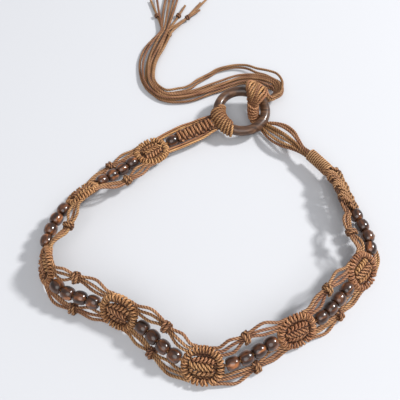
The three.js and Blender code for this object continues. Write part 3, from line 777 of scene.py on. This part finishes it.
def wood_finish(name, colours, stretch, scale, roughness, coat, source):
    """Polished wood with streaks of colour, and pores that are far finer.

    source names the attribute that keeps the wood's own coordinates. Without one they are the
    object's.
    """
    finish, tree, shader = new_finish(name)
    if source:
        where = node(tree, "ShaderNodeAttribute", (-1300, 0), attribute_name=source)
    else:
        where = node(tree, "ShaderNodeTexCoord", (-1300, 0))
    mapping = node(tree, "ShaderNodeMapping", (-1100, 0))
    mapping.inputs["Scale"].default_value = stretch
    tree.links.new(where.outputs["Vector" if source else "Object"], mapping.inputs["Vector"])
    grain = mapping.outputs["Vector"]
    streaks = noise(tree, (-850, 150), grain, scale, 6, distortion=0.6)
    pores = noise(tree, (-850, -200), grain, scale * PORE_FINENESS, 3)
    tint = node(tree, "ShaderNodeHueSaturation", (-350, 200))
    bright = spread(tree, (-600, -100), pores, PORE_BRIGHTNESS, seen=(0.35, 0.6))
    tree.links.new(bright, tint.inputs["Value"])
    tree.links.new(ramp(tree, (-600, 200), streaks, colours), tint.inputs["Color"])
    tree.links.new(tint.outputs["Color"], shader.inputs["Base Color"])
    bump(tree, (-350, -250), pores, shader, 0.15, PORE_DEPTH)
    shader.inputs["Roughness"].default_value = roughness
    shader.inputs["Specular IOR Level"].default_value = 0.35
    shader.inputs["Coat Weight"].default_value = coat
    shader.inputs["Coat Roughness"].default_value = 0.12
    return finish


bead_wood = wood_finish(
    "dark_bead_wood",
    [(0.36, (34, 20, 13)), (0.5, (66, 39, 25)), (0.6, (98, 59, 34)), (0.68, (158, 97, 54))],
    stretch=(1.0, 1.0, 0.32), scale=210, roughness=0.28, coat=0.6, source="grain",
)
ring_wood = wood_finish(
    "walnut_ring_wood",
    [(0.34, (50, 32, 22)), (0.5, (80, 55, 39)), (0.66, (110, 79, 57))],
    stretch=(0.25, 1.0, 1.0), scale=260, roughness=0.4, coat=0.3, source=None,
)
beads = put_in_scene("wooden_beads", bead_mesh, bead_wood)
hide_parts(*[f"bead_{i:02d}" for i in range(1, 2 + 7 * BEADS_PER_RUN)])

# %% [markdown]
# ## The ring
#
# The ring is turned wood with a round section. Spinning a circle about the ring's axis gives it
# smooth, where the solid model has flats. It stands tilted on the cords under it, far side up.

# %% Ring, a circle spun about an upright axis
RING_TILT = math.radians(8)
TUBE_SIDES, RING_STEPS = 28, 96
ring = bmesh.new()
made = bmesh.ops.create_circle(ring, segments=TUBE_SIDES, radius=RING_TUBE * MM)
upright = Matrix.Translation((RING_RADIUS * MM, 0, 0)) @ Matrix.Rotation(math.pi / 2, 4, "X")
bmesh.ops.transform(ring, matrix=upright, verts=made["verts"])
bmesh.ops.spin(
    ring, geom=ring.verts[:] + ring.edges[:], cent=(0, 0, 0), axis=(0, 0, 1),
    angle=2 * math.pi, steps=RING_STEPS, use_merge=True, use_duplicate=False,
)
bmesh.ops.remove_doubles(ring, verts=ring.verts, dist=1e-7)
bmesh.ops.recalc_face_normals(ring, faces=ring.faces)
ring_stand = Matrix.Translation(Vector(to_scene((0, 0, RING_HEIGHT))))
bmesh.ops.transform(ring, matrix=ring_stand @ Matrix.Rotation(RING_TILT, 4, "X"), verts=ring.verts)
ring_mesh = bpy.data.meshes.new("turned_ring")
ring.to_mesh(ring_mesh)
ring.free()
ring_piece = put_in_scene("turned_ring", ring_mesh, ring_wood)
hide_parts("ring")
print("ring:", len(ring_mesh.polygons), "faces")

# %% [markdown]
# ## Winding one cord round others
#
# Hitches, wraps and coils are all one cord wound round a core. The core gives, for each place,
# its middle and two directions across it, and the wound cord circles round that.


# %% A cord wound round a core
def wind(middle, across, out, turns, radius, phase=0.0, pairs=0.0, per_turn=18):
    """middle, across and out are functions of the share of the way along the core, as arrays.

    pairs draws each turn towards every second one, so that they lie two by two.
    """
    t = np.linspace(0, 1, int(turns * per_turn) + 1)
    angle = 2 * math.pi * turns * t + phase
    along = np.clip(t + pairs / turns * np.sin(angle / 2), 0, 1)
    ring_a = np.cos(angle)[:, None] * across(along) * radius
    ring_b = np.sin(angle)[:, None] * out(along) * radius
    return middle(along) + ring_a + ring_b


def ring_place(points):
    """Points given round the ring's own middle, in its tilted plane, to the belt."""
    x, y, z = np.asarray(points, float).T
    c, s = math.cos(RING_TILT), math.sin(RING_TILT)
    return np.stack([x, y * c - z * s, y * s + z * c + RING_HEIGHT], axis=1)


def ring_outward(bearing):
    return np.stack([np.cos(bearing), np.sin(bearing), np.zeros_like(bearing)], axis=1)


print("the ring leans", round(math.degrees(RING_TILT)), "degrees")

# %% [markdown]
# ## Hitches on the ring
#
# Each cord of the band is doubled and hitched on the ring: its middle makes a bar at the back
# and both halves come over the front. Seen from above they are close slanting turns, in pairs.

# %% Hitches
HITCH_FROM, HITCH_TO, HITCH_TURNS = math.radians(172), math.radians(250), 10
HITCH_SLANT = 0.4  # how far a turn runs along the ring for each step across it
hitch_reach = RING_TUBE + CLEARANCE + CORD / 2


def hitch_bearing(t):
    return HITCH_FROM + (HITCH_TO - HITCH_FROM) * (0.06 + 0.87 * t)  # clear of both ends


def hitch_across(t):
    bearing = hitch_bearing(t)
    return ring_outward(bearing) + HITCH_SLANT * ring_outward(bearing + math.pi / 2)


def hitch_turns(radius, phase):
    return ring_place(wind(
        lambda t: ring_outward(hitch_bearing(t)) * RING_RADIUS, hitch_across,
        lambda t: np.tile(UP, (len(t), 1)),
        HITCH_TURNS, radius, phase=phase, pairs=0.1, per_turn=24,
    ))


outer_turns = hitch_turns(hitch_reach, math.pi / 2)
SUNKEN = 0.8  # these turns lie lower and show dark between the others
sunken_turns = hitch_turns(hitch_reach - SUNKEN, 1.5 * math.pi)
hitch_piece = lay_cords(
    "ring_hitch_cords", [outer_turns, sunken_turns], tight, deepest=0.2)
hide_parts("ring_hitches")

# %% [markdown]
# ## Square knots
#
# A square knot ties two outer cords round still cords in the middle. The first outer cord always
# crosses in front, from one side to the other and back, and the second always crosses behind.
# Where they meet at a side each hooks the other, which makes the bumps on the edges. The
# places of one half knot are kept in a small table and repeated with the sides swapped. Cord
# pulled tight into a knot is thinner than loose cord.

# %% Square knots in a row
TIGHT = 0.86 * CORD
FRONT = [  # side, along, out: the cord that crosses in front
    (1.0, 0.02, 0.0), (0.86, 0.16, 0.75), (0.35, 0.3, 1.1), (-0.35, 0.42, 1.1),
    (-0.86, 0.56, 0.75), (-1.04, 0.76, -0.2),
]
BEHIND = [  # the cord that crosses behind and comes up round the first
    (-1.1, 0.02, 0.15), (-1.16, 0.24, 0.6), (-0.94, 0.5, 0.35), (-0.6, 0.6, -0.7),
    (0.0, 0.62, -1.05), (0.6, 0.62, -0.7), (1.05, 0.74, 0.1),
]


def square_knots(halves, first=1):
    """Two cords tied in half knots. Side runs -1 to 1, along counts half knots."""
    rows = {"front": [], "behind": []}
    for k in range(halves):
        side = first if k % 2 == 0 else -first
        for cord, table in (("front", FRONT), ("behind", BEHIND)):
            rows[cord] += [(side * x, k + y, z) for x, y, z in table]
    return [np.array(rows["front"]), np.array(rows["behind"])]


def knots_on_band(s_from, s_to, v, half_width, out, halves, n=0.0, first=1):
    paths = []
    for rows in square_knots(halves, first):
        s = s_from + (s_to - s_from) * rows[:, 1] / halves
        places = np.stack([s, v + rows[:, 0] * half_width, n + rows[:, 2] * out], axis=1)
        paths.append(band(smooth(places, 6)))
    return paths


def slanted_column(start, end, turns, middle, half_width, height, skew, phase=0.0):
    """A cord wound round a line along the band, its turns slanting: a row of tight hitches.

    middle gives the line's place across the band and out of it, half_width and height its reach,
    all as functions of the share of the way.
    """
    def line(t):
        v, n = middle(t)
        return np.stack([start + (end - start) * t, v + 0 * t, n + 0 * t], axis=1)

    def across(t):
        return np.stack([skew * half_width(t), half_width(t), 0 * t], axis=1)

    def out(t):
        return np.stack([0 * t, 0 * t, height + 0 * t], axis=1)

    return band(wind(line, across, out, turns, 1.0, phase=phase, per_turn=16))


print("places in a square knot:", len(FRONT) + len(BEHIND))

# %% [markdown]
# ## The sinnet between the ring and the first bead
#
# Square knots tied one below another make a flat ribbon. Five still cords run inside it, and
# two more fill its start under the hitches. Two loose cords pass it on each side, on their way
# from the ring to the first eye. They have to end inside that eye's border, so its outline
# comes first.


# %% How far an eye reaches along the band at a place across it
def eye_reach(unit_row, v):
    if unit_row["kind"] != "motif":
        return unit_row["length"] / 2
    share = min(abs(v) / unit_row["reach"], 1)
    return unit_row["length"] / 2 * (1 - share ** MOTIF_CORNER) ** (1 / MOTIF_CORNER)


neck, sinnet, lead, first_eye = units[:4]
print("the first eye reaches", round(eye_reach(first_eye, 0), 1), "mm each way along the band")

# %% The sinnet and the cords that pass it
NECK_WIDTH = 23.0  # of all the cords where they leave the hitches
UNDER_HITCHES = 1.2 * CORD  # the cords start this far back, inside the hitches


def passing_cord(side, i):
    gathered = side * (NECK_WIDTH / 2 - CORD * (1.6 - i))
    v = side * (sinnet["reach"] + CORD * (0.45 + 1.0 * i))
    end = first_eye["middle"] - eye_reach(first_eye, abs(v) - CORD / 2) + CORD
    middle = (sinnet["middle"] + lead["middle"]) / 2
    return band(smooth([
        (neck["start"] - UNDER_HITCHES, gathered * 0.95, 1.0), (neck["middle"], gathered, 0.4),
        (sinnet["start"] + 3 * CORD, v, 0), (middle, v + side * CORD / 2, 0), (end, v, 0),
    ]))


def bead_cord(start, run):
    """The cord through a unit's beads, straight from each joint to the next."""
    return band([(s, 0, 0) for s in [start, *bead_joints(run), run["end"] + 1.5 * CORD]])


SINNET_HALVES = 10
sinnet_cords = knots_on_band(
    neck["start"] + 1.0, sinnet["end"] + 0.5, v=0, half_width=sinnet["reach"] - CORD / 2 + 0.2,
    out=2.3, halves=SINNET_HALVES, n=0.4,
)
for v in (-5.0, -2.5, 0.0, 2.5, 5.0):  # still cords
    sinnet_cords.append(band(smooth([
        (neck["start"] - UNDER_HITCHES, v * 1.9, 1.0), (neck["end"], v * 1.1, 0.9),
        (sinnet["middle"], v, 0.8), (sinnet["end"], v, 0.5),
    ])))
for v in (-7.0, 7.0):  # short ones at its start
    sinnet_cords.append(band(smooth([
        (neck["start"] - UNDER_HITCHES, v * 1.1, 1.6), (neck["middle"], v * 1.05, 1.2),
        (sinnet["start"] + 2, v * 0.85, 0.2),
    ])))
sinnet_cords += [passing_cord(side, i) for side in (-1, 1) for i in (0, 1)]
sinnet_cords.append(bead_cord(sinnet["end"] - CORD, lead))
sinnet_piece = lay_cords("sinnet_of_square_knots", sinnet_cords, tight)
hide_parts("square_knot_sinnet")

# %% [markdown]
# ## The knotted eyes
#
# An eye is an oval border of double half hitches round a cluster of knots. Each hitch is two
# tight turns round a holding cord. So the border is made as one cord wound about thirty times
# round an oval, with its turns in pairs and slanting. The cluster in the middle is three rows of
# tight slanting turns, and stands as proud as the border. Dark gaps are left between the two.
# Straight cords run under both, so that no light shows through.

# %% Border and middle of an eye
BORDER_RADIUS = 2.35  # of the winding, at its cord's middle
BORDER_INSET = BORDER_RADIUS + TIGHT / 2 + 0.05
BORDER_TURNS = 32
BORDER_SLANT = 0.4
CLUSTER_HALF = 8.8  # along the band
CLUSTER = [  # place across, out, half width, skew and turns of each row
    (-5.4, 0.3, 2.0, 0.85, 5.5), (0.0, 1.25, 2.9, -0.9, 5.2), (5.4, 0.3, 2.0, 0.85, 5.5),
]
CLUSTER_HEIGHT = 1.9  # reach of its turns out of the face
UNDER_CLUSTER = (-3.4, -1.2, 1.2, 3.4)  # places across of the straight cords under the cluster
UNDER_BORDER = (7.9, 10.0, 12.0)  # and of those under the border, on each side


def eye_border(eye):
    def outward(t):
        angle = 2 * math.pi * t
        return np.stack([np.cos(angle), np.sin(angle), np.zeros_like(angle)], axis=1)

    def across(t):
        return outward(t) + BORDER_SLANT * outward(t + 0.25)

    def middle(t):
        flat = outward(t)
        square = (np.abs(flat[:, 0]) ** MOTIF_CORNER + np.abs(flat[:, 1]) ** MOTIF_CORNER)
        reach = square ** (-1 / MOTIF_CORNER)
        size = np.array([eye["length"] / 2 - BORDER_INSET, eye["reach"] - BORDER_INSET, 0])
        return flat * reach[:, None] * size + np.array([eye["middle"], 0, 0])

    places = wind(
        middle, across, lambda t: np.tile(UP, (len(t), 1)), BORDER_TURNS, BORDER_RADIUS,
        pairs=0.2, per_turn=14,
    )
    return band(places)


def eye_middle(eye):
    """A cluster of slanting turns, and the straight cords under it and under the border."""
    s = eye["middle"]
    paths = []
    for v, n, half_width, skew, turns in CLUSTER:
        paths.append(slanted_column(
            s - CLUSTER_HALF, s + CLUSTER_HALF, turns,
            lambda t: (v * (0.72 + 0.28 * np.sin(math.pi * t)), n + 0.5 * np.sin(math.pi * t) - 0.3),
            lambda t: half_width * (0.8 + 0.25 * np.sin(math.pi * t)), CLUSTER_HEIGHT, skew,
        ))
    for v in UNDER_CLUSTER:
        paths.append(band(smooth([
            (s - 14, v * 1.7, -0.8), (s - CLUSTER_HALF, v, -0.3), (s, v, -0.2),
            (s + CLUSTER_HALF, v, -0.3), (s + 14, v * 1.7, -0.8),
        ])))
    for side in (-1, 1):
        for i, reach in enumerate(UNDER_BORDER):
            paths.append(band(smooth([
                (s - 13, side * 6, -1.3), (s - 7, side * reach, -1.2 + 0.3 * i),
                (s + 1, side * (reach + 0.6), -1.2), (s + 8, side * reach, -1.2 + 0.3 * i),
                (s + 13, side * 6, -1.3),
            ])))
    return paths


eyes = of_kind("motif")
runs = of_kind("run")
for i, (eye, run) in enumerate(zip(eyes, runs)):
    cords = [eye_border(eye), *eye_middle(eye), bead_cord(eye["middle"] + eye["length"] / 4, run)]
    piece = lay_cords(f"knotted_eye_{i + 1}", cords, tight, width=TIGHT)
    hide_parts(f"motif_{i + 1}")

# %% [markdown]
# ## Cords beside the beads
#
# From eye to eye three cords pass above each run of beads and three below. Halfway they are
# tied by one small square knot, so they bow out to it and come back. The outer cord of the
# three swells most, which leaves slim openings between them.

# %% Three cords and their middle knot
MIDDLE_KNOT_CORDS = 1.7  # length of the knot along the band, in cords
CROWDED = 0.75 * CORD  # from one cord to the next where they are held together
SIDE_LIFTS = (0.25, -0.2, 0.15)  # how far each of the three rises and sinks, in cords


def side_cord(before, after, side, i):
    """Cord i of three from one eye to the next, at side 1 towards the waist or -1 below."""
    bow = BOW_INNER if side > 0 else BOW_OUTER
    inner = BEAD_WIDTH / 2 + CLEARANCE + 0.9 * CORD
    across = [inner + (u["reach"] - 0.7 * CORD - inner) * i / 2 for u in (before, after)]
    knotted = bow - (2.2 - i) * CORD
    tied = bow - CORD + (i - 1) * CROWDED
    ends = [before["middle"] + eye_reach(before, across[0] - CORD / 2) - 1.5 * CORD,
            after["middle"] - eye_reach(after, across[1] - CORD / 2) + 1.5 * CORD]
    middle = (before["end"] + after["start"]) / 2
    swell = (i - 0.6) * CROWDED
    lift = SIDE_LIFTS[i] * CORD
    return [
        (ends[0], side * across[0], -0.6), (ends[0] + 2 * CORD, side * across[0], 0),
        ((ends[0] + middle) / 2, side * ((across[0] + knotted) / 2 + swell), lift),
        (middle - MIDDLE_KNOT_CORDS * CORD, side * (tied * 0.8 + knotted * 0.2), 0),
        (middle, side * tied, 0),
        (middle + MIDDLE_KNOT_CORDS * CORD, side * (tied * 0.8 + knotted * 0.2), 0),
        ((ends[1] + middle) / 2, side * ((across[1] + knotted) / 2 + swell), -lift),
        (ends[1] - 2 * CORD, side * across[1], 0), (ends[1], side * across[1], -0.6),
    ]


def side_cords(before, after, side):
    bow = BOW_INNER if side > 0 else BOW_OUTER
    middle = (before["end"] + after["start"]) / 2
    paths = [band(smooth(side_cord(before, after, side, i))) for i in range(3)]
    half = MIDDLE_KNOT_CORDS * CORD / 2
    paths += knots_on_band(
        middle - half, middle + half, v=side * (bow - CORD), half_width=1.45 * CORD,
        out=1.15 * CORD, halves=2, first=side,
    )
    return paths


for i, run in enumerate(runs):
    place = units.index(run)
    for label, side in (("inner", 1), ("outer", -1)):
        cords = side_cords(units[place - 1], units[place + 1], side)
        piece = lay_cords(f"side_cords_{label}_{i + 1}", cords, camel, deepest=0.25)
        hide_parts(f"side_cords_{i + 1}_{label}")

# %% [markdown]
# ## The braid
#
# After the last beads all cords come together in tight hitches that slant towards the middle
# from both sides, like a plait, and taper to the coil. Each half is one cord wound round the
# others, with its turns slanting towards the middle line. The width swells and narrows four
# times, once for each group of knots. Six cords run inside it and on into the coil, and a
# seventh crosses the shoulder where the two meet.

# %% Two halves of slanting turns
braid_unit = of_kind("braid")[0]
BRAID_SHARE = (0, 0.12, 0.28, 0.42, 0.56, 0.7, 0.84, 1)
BRAID_WIDTHS = 31.0 * np.array([0.8, 1, 0.88, 0.98, 0.82, 0.86, 0.74, 0.62])
BRAID_TURNS = 12
BRAID_HEIGHT = 3.3  # reach of its turns out of the face


def braid_half(t):
    return gently(t, BRAID_SHARE, BRAID_WIDTHS) / 2


def braid_seam(t):
    return 0.9 * np.sin(6 * math.pi * t) - 3.2 * t  # wanders a little, and bears outwards


def braid_column(side):
    def middle(t):
        return side * braid_half(t) / 2 + braid_seam(t), 0.5 * np.sin(8 * math.pi * t) + 0.7

    def reach(t):
        return braid_half(t) / 2 - TIGHT / 2 + 0.5

    return slanted_column(
        braid_unit["start"] + 1.5, braid_unit["end"] + 0.8, BRAID_TURNS, middle, reach,
        BRAID_HEIGHT, skew=side * 0.8, phase=side * 1.2,
    )


braid_cords = [braid_column(-1), braid_column(1)]
print("the braid is", BRAID_WIDTHS.max().round(1), "mm wide at most")

# %% The cords inside the braid, and the one across its shoulder
BRAID_CORE = [  # place across as a share of half the width, then across and out inside the coil
    (-1.0, -2.6, 0.0), (-0.6, -1.3, 2.3), (-0.2, -1.3, -2.3), (0.2, 1.3, -2.3), (0.6, 1.3, 2.3),
    (1.0, 2.6, 0.0),
]
CORE_COVER = 2.9  # how far inside the braid's edge the outer two run
CORE_MARKS = [(0.1, -0.7), (0.4, -0.7), (0.7, -0.7), (0.95, 0.3)]  # share of the way, and out
SHOULDER = [  # along from the braid's end, across and out
    (4.5, -2.2, 2.6), (0.8, -3.6, 4.2), (-2.2, -8.2, 4.0), (-6.5, -11.2, 2.2),
    (-12.0, -11.6, 0.3), (-17.0, -9.5, -1.0),
]


def braid_core_cord(across, v_coil, n_coil):
    places = [(braid_unit["start"] - 6, across * 10, -0.8)]
    for share, n in CORE_MARKS:
        s = braid_unit["start"] + share * braid_unit["length"]
        places.append((s, across * (braid_half(share) - CORE_COVER) + braid_seam(share), n))
    for cords in (1.2, 2.4):
        places.append((braid_unit["end"] + cords * CORD, v_coil, n_coil))
    return band(smooth(places))


braid_cords += [braid_core_cord(*row) for row in BRAID_CORE]
braid_cords.append(band(smooth([(braid_unit["end"] + s, v, n) for s, v, n in SHOULDER])))
braid_piece = lay_cords("braid_of_hitches", braid_cords, camel)
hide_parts("braid")

# %% [markdown]
# ## The coil after the braid
#
# Twelve close turns of one cord bind all the others and end the worked band. The binding cord
# took less dye, so it is yellower. A bundle of cords shows at each end of the turns.

# %% Coil
coil = of_kind("coil")[0]
COIL_TURNS = 12
COIL_CORD = 2.4  # the binding cord, pulled thin
COIL_WIDTH = 13.0
COIL_RADIUS = (COIL_WIDTH - COIL_CORD) / 2


def coil_middle(t):
    return np.stack([coil["start"] + 1.2 + (coil["length"] - 2.4) * t, 0 * t, 0 * t], axis=1)


coil_turns = band(wind(
    coil_middle, lambda t: np.tile([0.0, 1.0, 0.0], (len(t), 1)),
    lambda t: np.tile(UP, (len(t), 1)), COIL_TURNS, COIL_RADIUS, phase=2.2, per_turn=24,
))
coil_piece = lay_cords("coil_of_cord", [coil_turns], straw, width=COIL_CORD)
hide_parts("coil_wrap")

# %% [markdown]
# ## Loose cords from the coil to the ring
#
# The cords leave the coil in a bunch, spread like the ribs of a lantern and gather again under
# the rim of the ring. Nine cords make the lantern, as in the real belt, each with its own bow.
# In the neck beside the coil they still cross over each other.

# %% The bundle round the ring's tube: bearing, turn, standing off, width and thickness in cords
CLOSURE = [
    (-29, -88, 0.1, 3.5, 2.0), (-27, -132, 0.2, 3.0, 2.3), (-17, -166, 0.4, 3.0, 2.8),
    (2, -183, 0.5, 3.1, 3.0), (24, -198, 0.55, 3.8, 2.7), (38, -217, 0.35, 6.8, 2.8),
    (48, -241, 0.25, 8.4, 3.2), (53, -270, 0.1, 9.0, 3.1), (56, -305, 0.0, 8.2, 2.7),
    (51, -345, 0.0, 6.0, 2.3), (43, -375, 0.3, 4.4, 2.4),
]


def closure_station(row, side=0.0, depth=0.0):
    """A place in the bundle: side and depth are shares of half its width and half its thickness."""
    bearing, over = math.radians(row[0]), math.radians(row[1])
    off, width, thick = row[2], row[3] * CORD, row[4] * CORD
    stand = RING_TUBE + CLEARANCE + thick / 2 + off * RING_TUBE + depth * (thick - CORD) / 2
    outward = np.array([math.cos(bearing), math.sin(bearing), 0.0])
    tangent = np.array([-outward[1], outward[0], 0.0])
    place = outward * (RING_RADIUS + stand * math.cos(over)) + UP * stand * math.sin(over)
    return ring_place([place + tangent * side * (width - CORD) / 2])[0]


under_rim = closure_station(CLOSURE[0])
rim_back = unit(under_rim - closure_station(CLOSURE[1]))
coil_end = band([(coil["end"], 0, 0)])[0]
coil_ahead = unit(coil_end - band([(coil["end"] - CORD, 0, 0)])[0])
lantern_start = coil_end - coil_ahead * 1.5 * CORD
lantern_finish = under_rim + rim_back * CLEARANCE
lantern_across = unit(np.cross(lantern_finish - lantern_start, UP))
LANTERN = [  # sideways and up, and place across the gathered ends
    (1.0, 0.1, 0.9), (0.9, 0.6, 0.6), (0.42, 0.95, 0.35), (-0.12, 0.95, -0.1),
    (-0.4, 0.55, -0.45), (-0.86, 0.45, -0.7), (-1.0, 0.0, -0.95), (0.35, -0.45, 0.3),
    (-0.45, -0.4, -0.5),
]
LANTERN_MARKS = (0.0, 0.08, 0.2, 0.34, 0.5, 0.68, 0.84, 0.95, 1.0)  # shares of the way
LANTERN_HALF = 12.2
LANTERN_NECK = 0.27  # share of the way where the cords still cross in a bunch
LANTERN_FULLNESS = 0.8  # under 1 it swells soon and stays wide
LANTERN_BEAR = 1.9  # how far the swollen part bears to the outer side
NECK_SPREAD = 3.2
CROSSING, CROSSING_ENDS = 1.3, 0.3  # turn of the bunch at the coil, and where it has ended


def lantern_cord(sideways, up, gathered):
    knots = []
    for t in LANTERN_MARKS:
        swollen = max(t - LANTERN_NECK, 0) / (1 - LANTERN_NECK)
        swell = math.sin(math.pi * swollen) ** LANTERN_FULLNESS
        spread = NECK_SPREAD + (LANTERN_HALF - NECK_SPREAD) * swell
        crossing = CROSSING * (1 - min(t / CROSSING_ENDS, 1))
        side = sideways * math.cos(crossing) - up * math.sin(crossing)
        rise = sideways * math.sin(crossing) + up * math.cos(crossing)
        flat = side * spread * (1 - t) + (side * swell + gathered * (1 - swell)) * spread * t
        knots.append(
            lantern_start + (lantern_finish - lantern_start) * t
            + lantern_across * (flat + LANTERN_BEAR * swell)
            + UP * rise * spread * (0.6 + 0.3 * (1 - swell))
        )
    return smooth(knots)


open_paths = [lantern_cord(*row) for row in LANTERN]
open_piece = lay_cords("loose_cords_to_ring", open_paths, camel, deepest=0.4)
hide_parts("open_cords")

# %% [markdown]
# ## The cords round the ring
#
# Under the rim the cords close up, rise through the ring inside a short winding, fan out over
# the far rim and come down outside it. Each cord keeps its own place in the bundle, a share of
# its width and thickness, and wanders a little round it. It ends where its own cord of the tail
# starts, so the two read as one.

# %% Bundle through and over the ring
bend_ahead = unit(BEND_ROUTE[1] - BEND_ROUTE[0])
bend_right = unit(np.cross(bend_ahead, UP))


def bundle_cord(place, layer):
    knots = []
    for k, row in enumerate(CLOSURE):
        across = 0.09 * math.sin(1.7 * k + 6 * place) - 0.97 * place
        round_top = 1 - 0.5 * across ** 2  # the bundle is thickest in its middle
        depth = (1.25 if layer > 0 else -0.7) * round_top
        knots.append(closure_station(row, across, depth))
    right, above = in_bend(place, layer) * BEND_WIDTHS[0]
    spot = BEND_ROUTE[0] + bend_right * right + UP * above
    return smooth(knots + [spot, spot + bend_ahead * CORD])


bundle_paths = [bundle_cord(row["place"], row["layer"]) for row in TAIL_CORDS]
ON_TOP = (-0.56, -0.11, 0.33, 0.78)  # four more cords, which lie only on top
bundle_paths += [bundle_cord(place, 1) for place in ON_TOP]
print("cords through the ring:", len(bundle_paths))

# %% The short winding round the bundle
BARREL_FROM, BARREL_TO, BARREL_TURNS = 1.35, 4.4, 6  # in rows of the bundle's table
BARREL_OFF = CORD / 4  # how far the winding's middle stands off the bundle


def bundle_core(t):
    rows = np.array(CLOSURE, float)
    at = BARREL_FROM + (BARREL_TO - BARREL_FROM) * t
    mixed = [np.interp(at, np.arange(len(rows)), rows[:, i]) for i in range(5)]
    return np.stack(mixed, axis=1)


def barrel_cord():
    t = np.linspace(0, 1, BARREL_TURNS * 20)
    path = []
    for row, turn in zip(bundle_core(t), 2 * math.pi * BARREL_TURNS * t + 1.0):
        half_width, half_thick = row[3] * CORD / 2, row[4] * CORD / 2
        grown = (*row[:3], row[3] + 1, row[4])  # a cord wider, so that side 1 is the true edge
        side = math.cos(turn) * (half_width + BARREL_OFF) / half_width
        depth = math.sin(turn) * (half_thick + BARREL_OFF) / (half_thick - CORD / 2)
        path.append(closure_station(grown, side, depth))
    return np.array(path)


ring_knot_piece = lay_cords(
    "cords_round_ring", bundle_paths + [barrel_cord()], tight, deepest=0.35)
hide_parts("ring_knot")
print("cord in all:", round(cord_total["length"] / 1000, 1), "m,",
      cord_total["triangles"], "triangles")

# %% [markdown]
# ## Floor and light
#
# The belt lies on a pale, faintly cool sheet of card. A soft lamp on the right, a little behind
# and about half way up, gives the highlights on the beads and the shadows to the left. A large
# weak lamp in front and the pale surroundings fill them.

# %% Floor
floor_shape = bmesh.new()
bmesh.ops.create_grid(floor_shape, x_segments=1, y_segments=1, size=6)
floor_mesh = bpy.data.meshes.new("pale_card")
floor_shape.to_mesh(floor_mesh)
floor_shape.free()
floor_finish, _, floor_shader = new_finish("pale_card")
floor_shader.inputs["Roughness"].default_value = 0.9
floor_shader.inputs["Specular IOR Level"].default_value = 0.1
floor_shader.inputs["Base Color"].default_value = (*from_srgb((196, 197, 200)), 1)
floor_mesh.materials.append(floor_finish)
floor = bpy.data.objects.new("pale_card", floor_mesh)
floor.location = (0, 0, -0.0002)
bpy.context.scene.collection.objects.link(floor)
print("floor laid")


# %% Lamps and surroundings
def lamp(name, towards, away, size, power):
    data = bpy.data.lights.new(name, "AREA")
    data.shape = "DISK"
    data.size = size
    data.energy = power
    made = bpy.data.objects.new(name, data)
    direction = Vector(towards).normalized()
    made.location = direction * away
    made.rotation_euler = direction.to_track_quat("Z", "Y").to_euler()
    bpy.context.scene.collection.objects.link(made)
    return made


lamp("lamp_at_the_right", towards=(1.0, 0.25, 1.0), away=3.4, size=0.5, power=128)
lamp("soft_front", towards=(0.0, -0.8, 1.0), away=3.0, size=2.8, power=53)
world = bpy.data.worlds.new("pale_room")
bpy.context.scene.world = world
world.use_nodes = True
world.node_tree.nodes["Background"].inputs["Color"].default_value = (0.93, 0.95, 1.0, 1)
world.node_tree.nodes["Background"].inputs["Strength"].default_value = 0.45

# %% [markdown]
# ## Tidy up
#
# The section curve has done its work.

# %% Tidy up
bpy.data.objects.remove(section)
